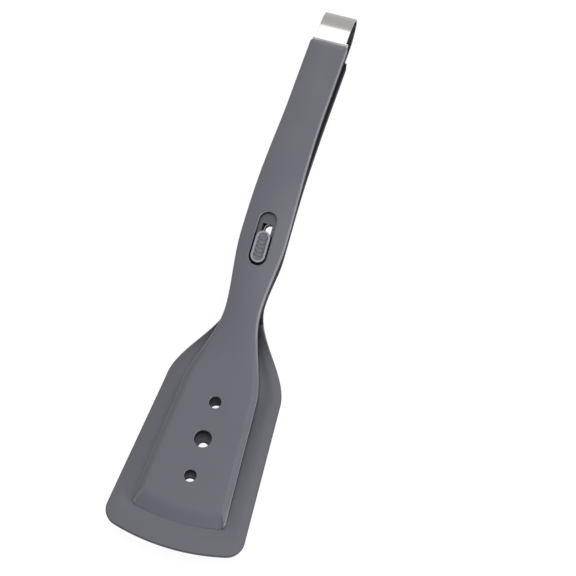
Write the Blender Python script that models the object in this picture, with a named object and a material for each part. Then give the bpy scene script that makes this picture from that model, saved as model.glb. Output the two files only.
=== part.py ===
"""Spatula tongs: two offset turner arms joined by a bowed steel band, with a sliding lock.

Metres, +Z up. The long axis is Y, with the blade tips towards -Y and the band's bow towards +Y.
Each arm is modelled straight and flat, as a strip with its stations, and is then formed along
its side profile. The arms are laid out with the lower blade's sole on Z = 0 and its tip at Y = 0,
and one empty then lays the closed tongs on the table, on the blade's heel and the handle's end.
"""

import math

import bmesh
import bpy
from mathutils import Matrix, Vector

MM = 0.001
DEG = math.pi / 180

# General fits
CLEARANCE = 0.3 * MM
OVERRUN = 1.0 * MM
STATION_STEP = 8.0 * MM
STATION_LEAST = 0.05 * MM
WELD = 0.002 * MM
ARC_SIDES = 20
SCREW_SIDES = 12
FORM_ANGLE = 35 * DEG

# Side profile of the lower arm, along its outer face from the tip: runs, radii and headings
LOWER_SOLE_RUN = 89.0 * MM
LOWER_HEEL_RADIUS = 100.0 * MM
LOWER_RAMP_ANGLE = 26.0 * DEG
LOWER_RAMP_RUN = 9.0 * MM
LOWER_SWAY_RADIUS = 160.0 * MM
LOWER_CROWN_RADIUS = 102.0 * MM
LOWER_GRIP_RUN = 76.7 * MM

# Side profile of the upper arm
UPPER_TIP_SETBACK = 14.6 * MM
UPPER_TIP_HEIGHT = 6.2 * MM
UPPER_BLADE_ANGLE = 5.5 * DEG
UPPER_BLADE_RUN = 60.7 * MM
UPPER_HEEL_RADIUS = 135.0 * MM
UPPER_RAMP_ANGLE = 27.5 * DEG
UPPER_RAMP_RUN = 14.0 * MM
UPPER_SWAY_RADIUS = 160.0 * MM
UPPER_CROWN_RADIUS = 131.0 * MM
UPPER_GRIP_RUN = 68.0 * MM
GRIP_ANGLE = 0.5 * DEG

# Both arms run parallel where the lock joins them
LOCK_ANGLE = 20.5 * DEG
LOCK_FLAT_RUN = 38.0 * MM

# Plan outline of the lower arm
LOWER_TIP_WIDTH = 80.6 * MM
LOWER_SHOULDER_WIDTH = 67.6 * MM
LOWER_SHOULDER_STATION = 96.0 * MM
LOWER_NECK_STATION = 149.0 * MM
LOWER_TIP_RADIUS = 125.0 * MM
LOWER_CORNER_RADIUS = 10.0 * MM

# Plan outline of the upper arm
UPPER_TIP_WIDTH = 54.0 * MM
UPPER_SHOULDER_WIDTH = 44.4 * MM
UPPER_SHOULDER_STATION = 72.4 * MM
UPPER_NECK_STATION = 123.4 * MM
UPPER_TIP_RADIUS = 105.0 * MM
UPPER_CORNER_RADIUS = 3.5 * MM

# Plan widths of the handles
UPPER_NECK_WIDTH = 20.0 * MM
LOWER_NECK_WIDTH = 18.9 * MM
UPPER_PALM_WIDTH = 26.8 * MM
LOWER_PALM_WIDTH = 24.6 * MM
WAIST_WIDTH = 22.6 * MM
END_WIDTH = 22.9 * MM
PALM_BEFORE_WAIST = 86.0 * MM
WAIST_BEFORE_END = 46.0 * MM

# Cross section of the arms
HANDLE_DEPTH = 7.0 * MM
HANDLE_CROWN = 0.6 * MM
HANDLE_EDGE = 2.4 * MM
SKIN_WALL = 1.2 * MM
SKIN_SIDE_WALL = 1.6 * MM
END_WALL = 2.0 * MM
UPPER_BLADE_DEPTH = 4.0 * MM
UPPER_BEVEL_WIDTH = 4.2 * MM
UPPER_BEVEL_DROP = 2.6 * MM
UPPER_TIP_BEVEL = 10.0 * MM
UPPER_TIP_DROP = 2.2 * MM
UPPER_TIP_DEPTH = 3.3 * MM
UPPER_TIP_THIN_RUN = 15.0 * MM
LOWER_BLADE_DEPTH = 3.0 * MM
LOWER_BLADE_EDGE = 0.9 * MM
LOWER_RIM_WIDTH = 6.0 * MM
LOWER_TIP_RIM = 12.0 * MM
LOWER_DISH_SLOPE_WIDTH = 2.5 * MM
LOWER_DISH = 0.5 * MM
HANDLE_EDGE_SHARES = ((0.5, 0.134), (0.866, 0.5), (1.0, 1.0))
BEVEL_EDGE_SHARES = ((0.25, 0.1), (0.85, 0.82), (1.0, 1.0))
TIP_ARC_SHARES = (0.06, 0.35, 0.6, 0.8)
TIP_CORNER_SHARES = (0.0, 0.25, 0.5, 0.75, 1.0)
CROWN_SHOULDER_SHARE = 0.75
EDGE_LIMIT_SHARE = 0.45
DROP_LIMIT_SHARE = 0.65
RIM_LIMIT_SHARE = 0.4
SLOPE_LIMIT_SHARE = 0.2

# Drain holes, by their place on the upper blade
HOLE_RADIUS = 3.45 * MM
LARGE_HOLE_RADIUS = 4.95 * MM
HOLE_STATION = 47.6 * MM
HOLE_PITCH = 21.8 * MM
LOWER_HOLE_PITCH = 22.8 * MM
LOWER_HOLE_SHIFT = 1.5 * MM
HOLE_SLEEVE = 1.5 * MM

# Stiff cores
CORE_FLUSH = 0.3 * MM
CORE_CHAMFER = 0.6 * MM
TONGUE_DEPTH = 1.3 * MM
TONGUE_MARGIN = 9.0 * MM
TONGUE_TIP_ROUND = 6.0 * MM
TONGUE_ROUND_SHARES = (0.04, 0.2, 0.5, 1.0)
CORE_SWELL_SHARE = 0.375
UPPER_TONGUE_START = 18.0 * MM
LOWER_TONGUE_START = 20.0 * MM

# Spring band
BAND_ROOT_WIDTH = 21.8 * MM
BAND_WIDTH = 19.0 * MM
BAND_THICKNESS = 1.0 * MM
BAND_DEPTH_IN_ARM = 3.2 * MM
BAND_JOGGLE = 0.9 * MM
BAND_JOGGLE_RUN = 1.8 * MM
BAND_LEG = 14.4 * MM
BAND_BOW_RUN = 13.5 * MM
BAND_TONGUE_WIDTH = 14.0 * MM
BAND_TONGUE_LENGTH = 44.0 * MM
BAND_SHOULDER_RUN = 0.6 * MM
BOW_PIVOT_SHARE = 0.4
RIVET_RADIUS = 1.9 * MM
RIVET_HEAD_RADIUS = 3.2 * MM
RIVET_HEAD_DEPTH = 1.3 * MM
RIVET_INSET = 12.0 * MM
RIVET_PITCH = 20.0 * MM
RIVET_TIP_DEPTH = 2.3 * MM

# Lock slot and button
SLOT_LENGTH = 31.2 * MM
SLOT_WIDTH = 10.2 * MM
SLOT_DEPTH = 3.4 * MM
BUTTON_LENGTH = 18.5 * MM
BUTTON_WIDTH = 8.3 * MM
BUTTON_REST_INSET = 1.6 * MM
BUTTON_PROUD = 0.9 * MM
BUTTON_RIM = 0.9 * MM
BUTTON_DISH = 0.8 * MM
BUTTON_ROUND = 0.35 * MM
RIB_COUNT = 5
RIB_PITCH = 2.4 * MM
RIB_LENGTH = 5.6 * MM
RIB_WIDTH = 1.1 * MM
RIB_HEIGHT = 0.55 * MM
RIB_SINK = 0.3 * MM
LOCK_TRAVEL = 10.5 * MM

# Hook, screw and leaf spring under the button
STEM_WIDTH = 5.0 * MM
STEM_LENGTH = 6.0 * MM
STEM_END_GAP = 0.6 * MM
WINDOW_WIDTH = 7.0 * MM
GUIDE_WIDTH = 11.0 * MM
GUIDE_LENGTH = 12.0 * MM
GUIDE_THICKNESS = 1.1 * MM
CORE_FLOOR = 2.4 * MM
FOOT_WIDTH = 10.0 * MM
FOOT_THICKNESS = 1.6 * MM
FOOT_DROP = 0.5 * MM
SCREW_RADIUS = 1.0 * MM
SCREW_HEAD_RADIUS = 1.8 * MM
SCREW_HEAD_DEPTH = 0.9 * MM
SCREW_REACH = 2.0 * MM
LEAF_LENGTH = 5.0 * MM
LEAF_WIDTH = 4.0 * MM
LEAF_THICKNESS = 0.3 * MM
LEAF_RISE = 1.0 * MM
LEAF_STATIONS = 9

# Keyhole catch in the lower arm
CATCH_LENGTH = 34.0 * MM
CATCH_WIDTH = 16.0 * MM
CATCH_THICKNESS = 1.2 * MM
CATCH_SINK = 0.2 * MM
CATCH_SLOT_GAP = 0.5 * MM
CATCH_EXIT_ROOM = 2.0 * MM
CATCH_SCREW_INSET = 3.4 * MM
CATCH_SCREW_RADIUS = 1.1 * MM
CATCH_SCREW_HEAD = 2.1 * MM
CATCH_SCREW_LENGTH = 3.2 * MM
CATCH_SCREW_CONE_SHARE = 0.8
FOOT_ROOM = 0.8 * MM
SIGHT_SLOT_WIDTH = 8.0 * MM


def smooth_share(value):
    """Ease from 0 to 1 with level ends."""
    value = min(1.0, max(0.0, value))
    return value * value * (3 - 2 * value)


def mix(first, second, share):
    return first + (second - first) * share


class ArmPath:
    """Side profile of an arm's outer face, in runs and arcs measured along the face."""

    def __init__(self, start, heading, legs):
        self.legs = []
        station = 0.0
        for length, turn in legs:
            self.legs.append((station, length, turn, start, heading))
            start = self.step(length, length, turn, start, heading)
            station += length
            heading += turn
        self.length = station

    @staticmethod
    def step(distance, length, turn, start, heading):
        y, z = start
        if abs(turn) < 1e-9:
            return y + distance * math.cos(heading), z + distance * math.sin(heading)
        radius = length / turn
        end = heading + distance / radius
        ahead = radius * (math.sin(end) - math.sin(heading))
        rise = radius * (math.cos(heading) - math.cos(end))
        return y + ahead, z + rise

    def leg_at(self, station):
        chosen = self.legs[0]
        for leg in self.legs:
            if station >= leg[0]:
                chosen = leg
        return chosen

    def heading(self, station):
        begin, length, turn, _, heading = self.leg_at(station)
        share = min(1.0, max(0.0, (station - begin) / length))
        return heading + turn * share

    def point(self, station):
        begin, length, turn, start, heading = self.leg_at(station)
        distance = min(length, max(0.0, station - begin))
        y, z = self.step(distance, length, turn, start, heading)
        spare = station - begin - distance
        angle = self.heading(station)
        return y + spare * math.cos(angle), z + spare * math.sin(angle)

    def place(self, flat):
        """Carry a flat point (across, station, height over the outer face) onto the formed arm."""
        across, station, height = flat
        y, z = self.point(station)
        angle = self.heading(station)
        return Vector((across, y - height * math.sin(angle), z + height * math.cos(angle)))

    def locate(self, spot):
        """Station and height over the outer face of a point in the side view."""
        station = self.length / 2
        for _ in range(40):
            y, z = self.point(station)
            angle = self.heading(station)
            ahead = (spot[1] - y) * math.cos(angle) + (spot[2] - z) * math.sin(angle)
            station += ahead
        height = (spot[2] - z) * math.cos(angle) - (spot[1] - y) * math.sin(angle)
        return station, height


def arc_leg(radius, turn):
    return radius * abs(turn), turn


LOWER_PATH = ArmPath(
    (0.0, 0.0),
    0.0,
    [
        (LOWER_SOLE_RUN, 0.0),
        arc_leg(LOWER_HEEL_RADIUS, LOWER_RAMP_ANGLE),
        (LOWER_RAMP_RUN, 0.0),
        arc_leg(LOWER_SWAY_RADIUS, LOCK_ANGLE - LOWER_RAMP_ANGLE),
        (LOCK_FLAT_RUN, 0.0),
        arc_leg(LOWER_CROWN_RADIUS, -LOCK_ANGLE),
        (LOWER_GRIP_RUN, 0.0),
    ],
)
UPPER_PATH = ArmPath(
    (UPPER_TIP_SETBACK, UPPER_TIP_HEIGHT),
    UPPER_BLADE_ANGLE,
    [
        (UPPER_BLADE_RUN, 0.0),
        arc_leg(UPPER_HEEL_RADIUS, UPPER_RAMP_ANGLE - UPPER_BLADE_ANGLE),
        (UPPER_RAMP_RUN, 0.0),
        arc_leg(UPPER_SWAY_RADIUS, LOCK_ANGLE - UPPER_RAMP_ANGLE),
        (LOCK_FLAT_RUN, 0.0),
        arc_leg(UPPER_CROWN_RADIUS, GRIP_ANGLE - LOCK_ANGLE),
        (UPPER_GRIP_RUN, 0.0),
    ],
)


class Outline:
    """Plan half width of an arm along its stations, with an arched tip and rounded corners."""

    def __init__(self, tip, shoulder, neck, palm_width, length):
        tip_width, tip_radius, corner_radius = tip
        shoulder_station, shoulder_width = shoulder
        self.half_tip = tip_width / 2
        self.taper = (self.half_tip - shoulder_width / 2) / shoulder_station
        self.tip_radius = tip_radius
        self.corner_radius = corner_radius
        waist = length - WAIST_BEFORE_END
        self.waypoints = [
            (shoulder_station, shoulder_width / 2),
            (neck[0], neck[1] / 2),
            (waist - PALM_BEFORE_WAIST, palm_width / 2),
            (waist, WAIST_WIDTH / 2),
            (length, END_WIDTH / 2),
        ]
        self.fit_corner()

    def fit_corner(self):
        """Place the corner arc so that it meets the tip arc and the straight side."""
        slant = math.hypot(1, self.taper)
        inner = self.tip_radius - self.corner_radius
        reach = self.half_tip - self.corner_radius * slant
        middle = reach * self.taper + self.tip_radius
        rest = reach**2 + self.tip_radius**2 - inner**2
        station = (middle - math.sqrt(middle**2 - slant**2 * rest)) / slant**2
        self.corner = (reach - self.taper * station, station)
        scale = self.tip_radius / inner
        self.arc_end = self.tip_radius + (station - self.tip_radius) * scale
        self.side_start = station + self.corner_radius * self.taper / slant

    def half_width(self, station):
        if station < self.arc_end:
            return math.sqrt(self.tip_radius**2 - (self.tip_radius - station) ** 2)
        if station < self.side_start:
            across, along = self.corner
            return across + math.sqrt(max(0.0, self.corner_radius**2 - (station - along) ** 2))
        if station < self.waypoints[0][0]:
            return self.half_tip - self.taper * station
        for (begin, first), (end, second) in zip(self.waypoints, self.waypoints[1:]):
            if station <= end:
                return mix(first, second, smooth_share((station - begin) / (end - begin)))
        return self.waypoints[-1][1]

    def tip_stations(self):
        """Stations that follow the tip arc and the corner arc closely."""
        across = [self.half_width(self.arc_end) * share for share in TIP_ARC_SHARES]
        found = [self.tip_radius - math.sqrt(self.tip_radius**2 - width**2) for width in across]
        for share in TIP_CORNER_SHARES:
            found.append(mix(self.arc_end, self.side_start, share))
        return found


LOWER_OUTLINE = Outline(
    (LOWER_TIP_WIDTH, LOWER_TIP_RADIUS, LOWER_CORNER_RADIUS),
    (LOWER_SHOULDER_STATION, LOWER_SHOULDER_WIDTH),
    (LOWER_NECK_STATION, LOWER_NECK_WIDTH),
    LOWER_PALM_WIDTH,
    LOWER_PATH.length,
)
UPPER_OUTLINE = Outline(
    (UPPER_TIP_WIDTH, UPPER_TIP_RADIUS, UPPER_CORNER_RADIUS),
    (UPPER_SHOULDER_STATION, UPPER_SHOULDER_WIDTH),
    (UPPER_NECK_STATION, UPPER_NECK_WIDTH),
    UPPER_PALM_WIDTH,
    UPPER_PATH.length,
)

# Places that follow from the sizes above
LOCK_FLAT_START = UPPER_PATH.legs[4][0]
SLOT_STATION = LOCK_FLAT_START + LOCK_FLAT_RUN / 2
BUTTON_STATION = SLOT_STATION - SLOT_LENGTH / 2 + BUTTON_REST_INSET + BUTTON_LENGTH / 2
GUIDE_TOP = -SLOT_DEPTH - CORE_FLOOR - CLEARANCE
HOLE_STATIONS = [HOLE_STATION + HOLE_PITCH * step for step in (-1, 0, 1)]
CATCH_TOP = HANDLE_DEPTH - CORE_FLUSH - CATCH_SINK
LOCK_POINT = UPPER_PATH.place((0.0, BUTTON_STATION, 0.0))
CATCH_STATION, LOCK_STACK = LOWER_PATH.locate(LOCK_POINT)
STEM_BOTTOM = CATCH_TOP - CATCH_THICKNESS - FOOT_DROP - LOCK_STACK
FOOT_BOTTOM = STEM_BOTTOM - FOOT_THICKNESS


def clear_scene():
    for thing in list(bpy.data.objects):
        bpy.data.objects.remove(thing, do_unlink=True)


def material(name, color, roughness, metallic=0.0):
    """Principled finish of a piece."""
    finish = bpy.data.materials.new(name)
    finish.use_nodes = True
    finish.diffuse_color = color
    shader = finish.node_tree.nodes["Principled BSDF"]
    shader.inputs["Base Color"].default_value = color
    shader.inputs["Roughness"].default_value = roughness
    shader.inputs["Metallic"].default_value = metallic
    return finish


def new_object(name, shape, finish=None):
    """Turn a bmesh into an object with outward faces."""
    bmesh.ops.recalc_face_normals(shape, faces=shape.faces)
    mesh = bpy.data.meshes.new(name)
    shape.to_mesh(mesh)
    shape.free()
    thing = bpy.data.objects.new(name, mesh)
    bpy.context.scene.collection.objects.link(thing)
    if finish:
        mesh.materials.append(finish)
    return thing


def loft(name, rings, finish=None):
    """Skin over equal rings of points, closed at both ends."""
    shape = bmesh.new()
    rows = [[shape.verts.new(spot) for spot in ring] for ring in rings]
    for row, following in zip(rows, rows[1:]):
        for index in range(len(row)):
            after = (index + 1) % len(row)
            shape.faces.new((row[index], row[after], following[after], following[index]))
    shape.faces.new(rows[0])
    shape.faces.new(rows[-1])
    return new_object(name, shape, finish)


def prism(name, outline, low, high, finish=None):
    """Outline in the XY plane, raised from low to high."""
    shape = bmesh.new()
    corners = [shape.verts.new((x, y, low)) for x, y in outline]
    face = shape.faces.new(corners)
    raised = bmesh.ops.extrude_face_region(shape, geom=[face])
    moved = [item for item in raised["geom"] if isinstance(item, bmesh.types.BMVert)]
    bmesh.ops.translate(shape, verts=moved, vec=(0, 0, high - low))
    return new_object(name, shape, finish)


def rectangle(width, begin, end):
    return [(-width / 2, begin), (width / 2, begin), (width / 2, end), (-width / 2, end)]


def stadium(width, begin, end, sides=ARC_SIDES):
    """Slot outline along Y with round ends."""
    radius = width / 2
    points = []
    for centre, first in ((end - radius, 0.0), (begin + radius, math.pi)):
        for step in range(sides // 2 + 1):
            angle = first + math.pi * step / (sides // 2)
            points.append((radius * math.cos(angle), centre + radius * math.sin(angle)))
    return points


def circle(radius, centre, sides=ARC_SIDES):
    angles = [2 * math.pi * (step + 0.5) / sides for step in range(sides)]
    return [(radius * math.cos(angle), centre + radius * math.sin(angle)) for angle in angles]


def turned(name, profile, sides=ARC_SIDES, finish=None):
    """Solid of revolution about Z; the profile of (radius, height) starts and ends on the axis."""
    shape = bmesh.new()
    points = [shape.verts.new((radius, 0, height)) for radius, height in profile]
    edges = [shape.edges.new(pair) for pair in zip(points, points[1:])]
    bmesh.ops.spin(
        shape, geom=points + edges, cent=(0, 0, 0), axis=(0, 0, 1), angle=2 * math.pi, steps=sides
    )
    bmesh.ops.remove_doubles(shape, verts=shape.verts, dist=WELD)
    return new_object(name, shape, finish)


def reshape(thing, cutters, operation="DIFFERENCE"):
    """Apply exact Booleans with the cutters, which are used up."""
    for cutter in cutters:
        cutter.hide_render = True
        cutter.display_type = "WIRE"
        step = thing.modifiers.new(cutter.name, "BOOLEAN")
        step.operation = operation
        step.solver = "EXACT"
        step.object = cutter
    graph = bpy.context.evaluated_depsgraph_get()
    result = bpy.data.meshes.new_from_object(thing.evaluated_get(graph))
    thing.modifiers.clear()
    old = thing.data
    thing.data = result
    bpy.data.meshes.remove(old)
    for cutter in cutters:
        bpy.data.objects.remove(cutter, do_unlink=True)


def move_mesh(thing, matrix):
    thing.data.transform(matrix)


def shade(thing):
    thing.data.shade_smooth()
    thing.data.set_sharp_from_angle(angle=FORM_ANGLE)


def form(thing, path):
    """Bend a flat piece along the arm's side profile."""
    shape = bmesh.new()
    shape.from_mesh(thing.data)
    bmesh.ops.remove_doubles(shape, verts=shape.verts, dist=WELD)
    bmesh.ops.triangulate(shape, faces=shape.faces, ngon_method="EAR_CLIP")
    for vertex in shape.verts:
        vertex.co = path.place(vertex.co)
    shape.to_mesh(thing.data)
    shape.free()
    shade(thing)


def place_local(thing, path, station, height=0.0):
    """Seat a piece modelled about its own origin at a station of an arm."""
    angle = path.heading(station)
    spot = path.place((0.0, station, height))
    move_mesh(thing, Matrix.Translation(spot) @ Matrix.Rotation(angle, 4, "X"))
    shade(thing)


def stations_between(outline, begin, end, extra=()):
    """Even stations along an arm, with closer ones round the tip."""
    count = max(1, round((end - begin) / STATION_STEP))
    found = [mix(begin, end, step / count) for step in range(count + 1)]
    tip = outline.tip_stations()
    if begin <= tip[0]:
        found = tip + [station for station in found if station > tip[-1] + STATION_STEP / 4]
    found += [station for station in extra if begin < station < end]
    found = sorted(found)
    kept = [found[0]]
    for station in found[1:]:
        if station - kept[-1] > STATION_LEAST:
            kept.append(station)
    return kept


def handle_share(outline, station):
    """0 on the blade and 1 on the handle, changing over the shoulder."""
    begin = outline.waypoints[0][0]
    end = outline.waypoints[1][0]
    return smooth_share((station - begin) / (end - begin))


def mirrored_ring(half, station):
    """Close a half section, given from the middle of its first face round to the middle of the other."""
    right = [(across, station, height) for across, height in half]
    left = [(-across, station, height) for across, height in reversed(half[1:-1])]
    return right + left


def edge_points(half, edge, drop, base, share):
    """Rounded edge of the handle, which becomes the blade's flatter bevel."""
    points = []
    for round_share, bevel_share in zip(HANDLE_EDGE_SHARES, BEVEL_EDGE_SHARES):
        across = mix(bevel_share[0], round_share[0], share)
        down = mix(bevel_share[1], round_share[1], share)
        points.append((half - edge + edge * across, base - drop * down))
    return points


def upper_ring(station):
    """Cross section of the upper arm: crowned outside on top, flat inside below."""
    half = UPPER_OUTLINE.half_width(station)
    share = handle_share(UPPER_OUTLINE, station)
    tip = 1 - min(1.0, station / UPPER_TIP_BEVEL)
    thin = smooth_share(1 - station / UPPER_TIP_THIN_RUN)
    top = -UPPER_TIP_DROP * (tip - tip * (1 - tip) / 4)
    depth = mix(UPPER_BLADE_DEPTH, HANDLE_DEPTH, share)
    depth = mix(depth, UPPER_TIP_DEPTH, thin)
    edge = min(mix(UPPER_BEVEL_WIDTH, HANDLE_EDGE, share), half * EDGE_LIMIT_SHARE)
    drop = min(mix(UPPER_BEVEL_DROP, HANDLE_EDGE, share), (depth + top) * DROP_LIMIT_SHARE)
    crown = top + HANDLE_CROWN * share
    swell = mix(top, crown, CROWN_SHOULDER_SHARE)
    half_points = [(0.0, crown), ((half - edge) / 2, swell), (half - edge, top)]
    half_points += edge_points(half, edge, drop, top, share)
    half_points += [(half, -depth), (0.0, -depth)]
    return mirrored_ring(half_points, station)


def lower_ring(station):
    """Cross section of the lower arm: outside below, shallow dish of the blade on top."""
    half = LOWER_OUTLINE.half_width(station)
    share = handle_share(LOWER_OUTLINE, station)
    depth = mix(LOWER_BLADE_DEPTH, HANDLE_DEPTH, share)
    near_tip = smooth_share((station - LOWER_TIP_RIM) / LOWER_DISH_SLOPE_WIDTH)
    dish = LOWER_DISH * (1 - share) * near_tip
    edge = min(mix(LOWER_BLADE_EDGE, HANDLE_EDGE, share), half * EDGE_LIMIT_SHARE)
    rim = min(LOWER_RIM_WIDTH, half * RIM_LIMIT_SHARE)
    slope = min(LOWER_DISH_SLOPE_WIDTH, half * SLOPE_LIMIT_SHARE)
    crown = -HANDLE_CROWN * smooth_share(2 * share - 1)
    half_points = [(0.0, depth - dish), (half - rim - slope, depth - dish), (half - rim, depth)]
    half_points += [(half - edge / 2, depth), (half, depth - edge / 2)]
    half_points += list(reversed([(x, -z) for x, z in edge_points(half, edge, edge, 0.0, share)]))
    half_points += [(half - edge, 0.0), ((half - edge) / 2, CROWN_SHOULDER_SHARE * crown)]
    half_points.append((0.0, crown))
    return mirrored_ring(half_points, station)


class CoreShape:
    """Stiff insert of an arm: a bar in the handle that thins to a tongue inside the blade."""

    def __init__(self, outline, length, tongue_start, blade_depth, inward):
        self.outline = outline
        self.begin = tongue_start
        self.end = length - END_WALL
        self.blade_middle = blade_depth / 2
        self.inward = inward

    def half_width(self, station):
        share = handle_share(self.outline, station)
        margin = mix(TONGUE_MARGIN, SKIN_SIDE_WALL, share)
        half = self.outline.half_width(station) - margin
        ahead = min(station - self.begin, TONGUE_TIP_ROUND)
        behind = TONGUE_TIP_ROUND - ahead
        return half - TONGUE_TIP_ROUND + math.sqrt(max(0.0, TONGUE_TIP_ROUND**2 - behind**2))

    def heights(self, station, grow):
        """Near and far faces, as depths below the outer face; growth makes the channel's cutter."""
        share = handle_share(self.outline, station)
        near = mix(self.blade_middle - TONGUE_DEPTH / 2, SKIN_WALL + CLEARANCE, share)
        bar = HANDLE_DEPTH - CORE_FLUSH
        if grow:
            bar = HANDLE_DEPTH + OVERRUN
        swell = smooth_share((share - CORE_SWELL_SHARE) / (1 - CORE_SWELL_SHARE))
        far = mix(self.blade_middle + TONGUE_DEPTH / 2, bar, swell)
        return near - grow, far + grow

    def solid(self, name, grow, finish=None):
        begin = self.begin - grow
        extra = [self.begin + TONGUE_TIP_ROUND * share for share in TONGUE_ROUND_SHARES]
        rings = []
        for station in stations_between(self.outline, begin, self.end - CLEARANCE + grow, extra):
            near, far = self.heights(station, grow)
            half = self.half_width(max(station, self.begin)) - CLEARANCE + grow
            bevel = min(CORE_CHAMFER, (far - near) / 4)
            near, far = near * self.inward, far * self.inward
            bevel *= self.inward
            half_points = [(0.0, near), (half - abs(bevel), near), (half, near + bevel)]
            half_points += [(half, far - bevel), (half - abs(bevel), far), (0.0, far)]
            rings.append(mirrored_ring(half_points, station))
        return loft(name, rings, finish)


UPPER_CORE = CoreShape(UPPER_OUTLINE, UPPER_PATH.length, UPPER_TONGUE_START, UPPER_BLADE_DEPTH, -1)
LOWER_CORE = CoreShape(
    LOWER_OUTLINE, LOWER_PATH.length, LOWER_TONGUE_START, LOWER_BLADE_DEPTH - LOWER_DISH, 1
)


def hole_cutters(stations, radii, grow):
    """Round cutters through a flat blade."""
    reach = HANDLE_DEPTH + OVERRUN
    cutters = []
    for station, radius in zip(stations, radii):
        cutters.append(prism("hole", circle(radius + grow, station), -reach, reach))
    return cutters


def lower_hole_stations():
    """The lower blade's holes lie nearly under the upper blade's when the tongs are closed."""
    spot = UPPER_PATH.place((0.0, HOLE_STATION, -UPPER_BLADE_DEPTH))
    middle = LOWER_PATH.locate(spot)[0] - LOWER_HOLE_SHIFT
    return [middle + LOWER_HOLE_PITCH * step for step in (-1, 0, 1)]


UPPER_HOLE_RADII = (HOLE_RADIUS, LARGE_HOLE_RADIUS, HOLE_RADIUS)
LOWER_HOLE_RADII = (HOLE_RADIUS, HOLE_RADIUS, HOLE_RADIUS)


def core_with_holes(core, name, stations, radii, grow, finish=None):
    """Core or its channel cutter; posts of skin stay round the drain holes."""
    solid = core.solid(name, grow, finish)
    reshape(solid, hole_cutters(stations, radii, HOLE_SLEEVE - grow))
    return solid


def rivet_stations(path):
    first = path.length - END_WALL - RIVET_INSET
    return [first - RIVET_PITCH * step for step in range(2)]


def band_pocket(path, inward):
    """Cutters for the tongue's pocket and the rivets' seats in a core, and the mouth in the skin."""
    half = BAND_THICKNESS / 2 + CLEARANCE
    middle = BAND_DEPTH_IN_ARM * inward
    begin = path.length - END_WALL - BAND_TONGUE_LENGTH - CLEARANCE
    outline = rectangle(BAND_TONGUE_WIDTH + 2 * CLEARANCE, begin, path.length + OVERRUN)
    return prism("pocket", outline, middle - half, middle + half)


def rivet_profile(grow):
    """Countersunk rivet, head at height zero and shank below."""
    reach = HANDLE_DEPTH - CORE_FLUSH - RIVET_TIP_DEPTH + grow
    over = OVERRUN if grow else 0.0
    return [
        (0.0, over),
        (RIVET_HEAD_RADIUS + grow, over),
        (RIVET_HEAD_RADIUS + grow, -grow),
        (RIVET_RADIUS + grow, -RIVET_HEAD_DEPTH - grow),
        (RIVET_RADIUS + grow, -reach),
        (0.0, -reach),
    ]


def rivet(name, station, inward, grow):
    """Rivet, or the cutter for its seat, upright on the inner face of a flat core."""
    piece = turned(name, rivet_profile(grow))
    turn = Matrix.Rotation(math.pi if inward < 0 else 0.0, 4, "X")
    height = (HANDLE_DEPTH - CORE_FLUSH) * inward
    move_mesh(piece, Matrix.Translation((0.0, station, height)) @ turn)
    return piece


def band_rivets(arm, path, inward, finish):
    """The two rivets of one arm, through the core and the band's tongue."""
    rivets = []
    for place, station in zip(("rear", "front"), rivet_stations(path)):
        piece = rivet(f"{arm}_band_rivet_{place}", station, inward, 0.0)
        piece.data.materials.append(finish)
        form(piece, path)
        rivets.append(piece)
    return rivets


def build_upper_skin(finish):
    """Grey outer moulding of the upper arm."""
    extra = [UPPER_TIP_BEVEL, LOCK_FLAT_START, LOCK_FLAT_START + LOCK_FLAT_RUN]
    stations = stations_between(UPPER_OUTLINE, 0.0, UPPER_PATH.length, extra)
    skin = loft("upper_arm_skin", [upper_ring(station) for station in stations], finish)
    channel = core_with_holes(UPPER_CORE, "channel", HOLE_STATIONS, UPPER_HOLE_RADII, CLEARANCE)
    reshape(skin, [channel])
    slot = stadium(SLOT_WIDTH, SLOT_STATION - SLOT_LENGTH / 2, SLOT_STATION + SLOT_LENGTH / 2)
    cutters = hole_cutters(HOLE_STATIONS, UPPER_HOLE_RADII, 0.0)
    cutters.append(prism("slot", slot, -SLOT_DEPTH, HANDLE_CROWN + OVERRUN))
    cutters.append(band_pocket(UPPER_PATH, -1))
    reshape(skin, cutters)
    form(skin, UPPER_PATH)
    return skin


def build_upper_core(finish):
    """Stiff insert of the upper arm, the floor of the lock slot with its window."""
    core = core_with_holes(UPPER_CORE, "upper_arm_core", HOLE_STATIONS, UPPER_HOLE_RADII, 0.0, finish)
    slot = stadium(SLOT_WIDTH, SLOT_STATION - SLOT_LENGTH / 2, SLOT_STATION + SLOT_LENGTH / 2)
    window_start = BUTTON_STATION - STEM_LENGTH / 2 - STEM_END_GAP
    window_end = BUTTON_STATION + LOCK_TRAVEL + STEM_LENGTH / 2 + STEM_END_GAP
    guide_start = BUTTON_STATION - GUIDE_LENGTH / 2 - STEM_END_GAP
    guide_end = BUTTON_STATION + LOCK_TRAVEL + GUIDE_LENGTH / 2 + STEM_END_GAP
    below = -HANDLE_DEPTH - OVERRUN
    guide_room = rectangle(GUIDE_WIDTH + 2 * CLEARANCE, guide_start, guide_end)
    cutters = [
        prism("slot", slot, -SLOT_DEPTH, OVERRUN),
        prism("window", rectangle(WINDOW_WIDTH, window_start, window_end), below, OVERRUN),
        prism("guide_room", guide_room, below, -SLOT_DEPTH - CORE_FLOOR),
        band_pocket(UPPER_PATH, -1),
    ]
    cutters += [rivet("seat", station, -1, CLEARANCE) for station in rivet_stations(UPPER_PATH)]
    reshape(core, cutters)
    form(core, UPPER_PATH)
    return core


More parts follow.
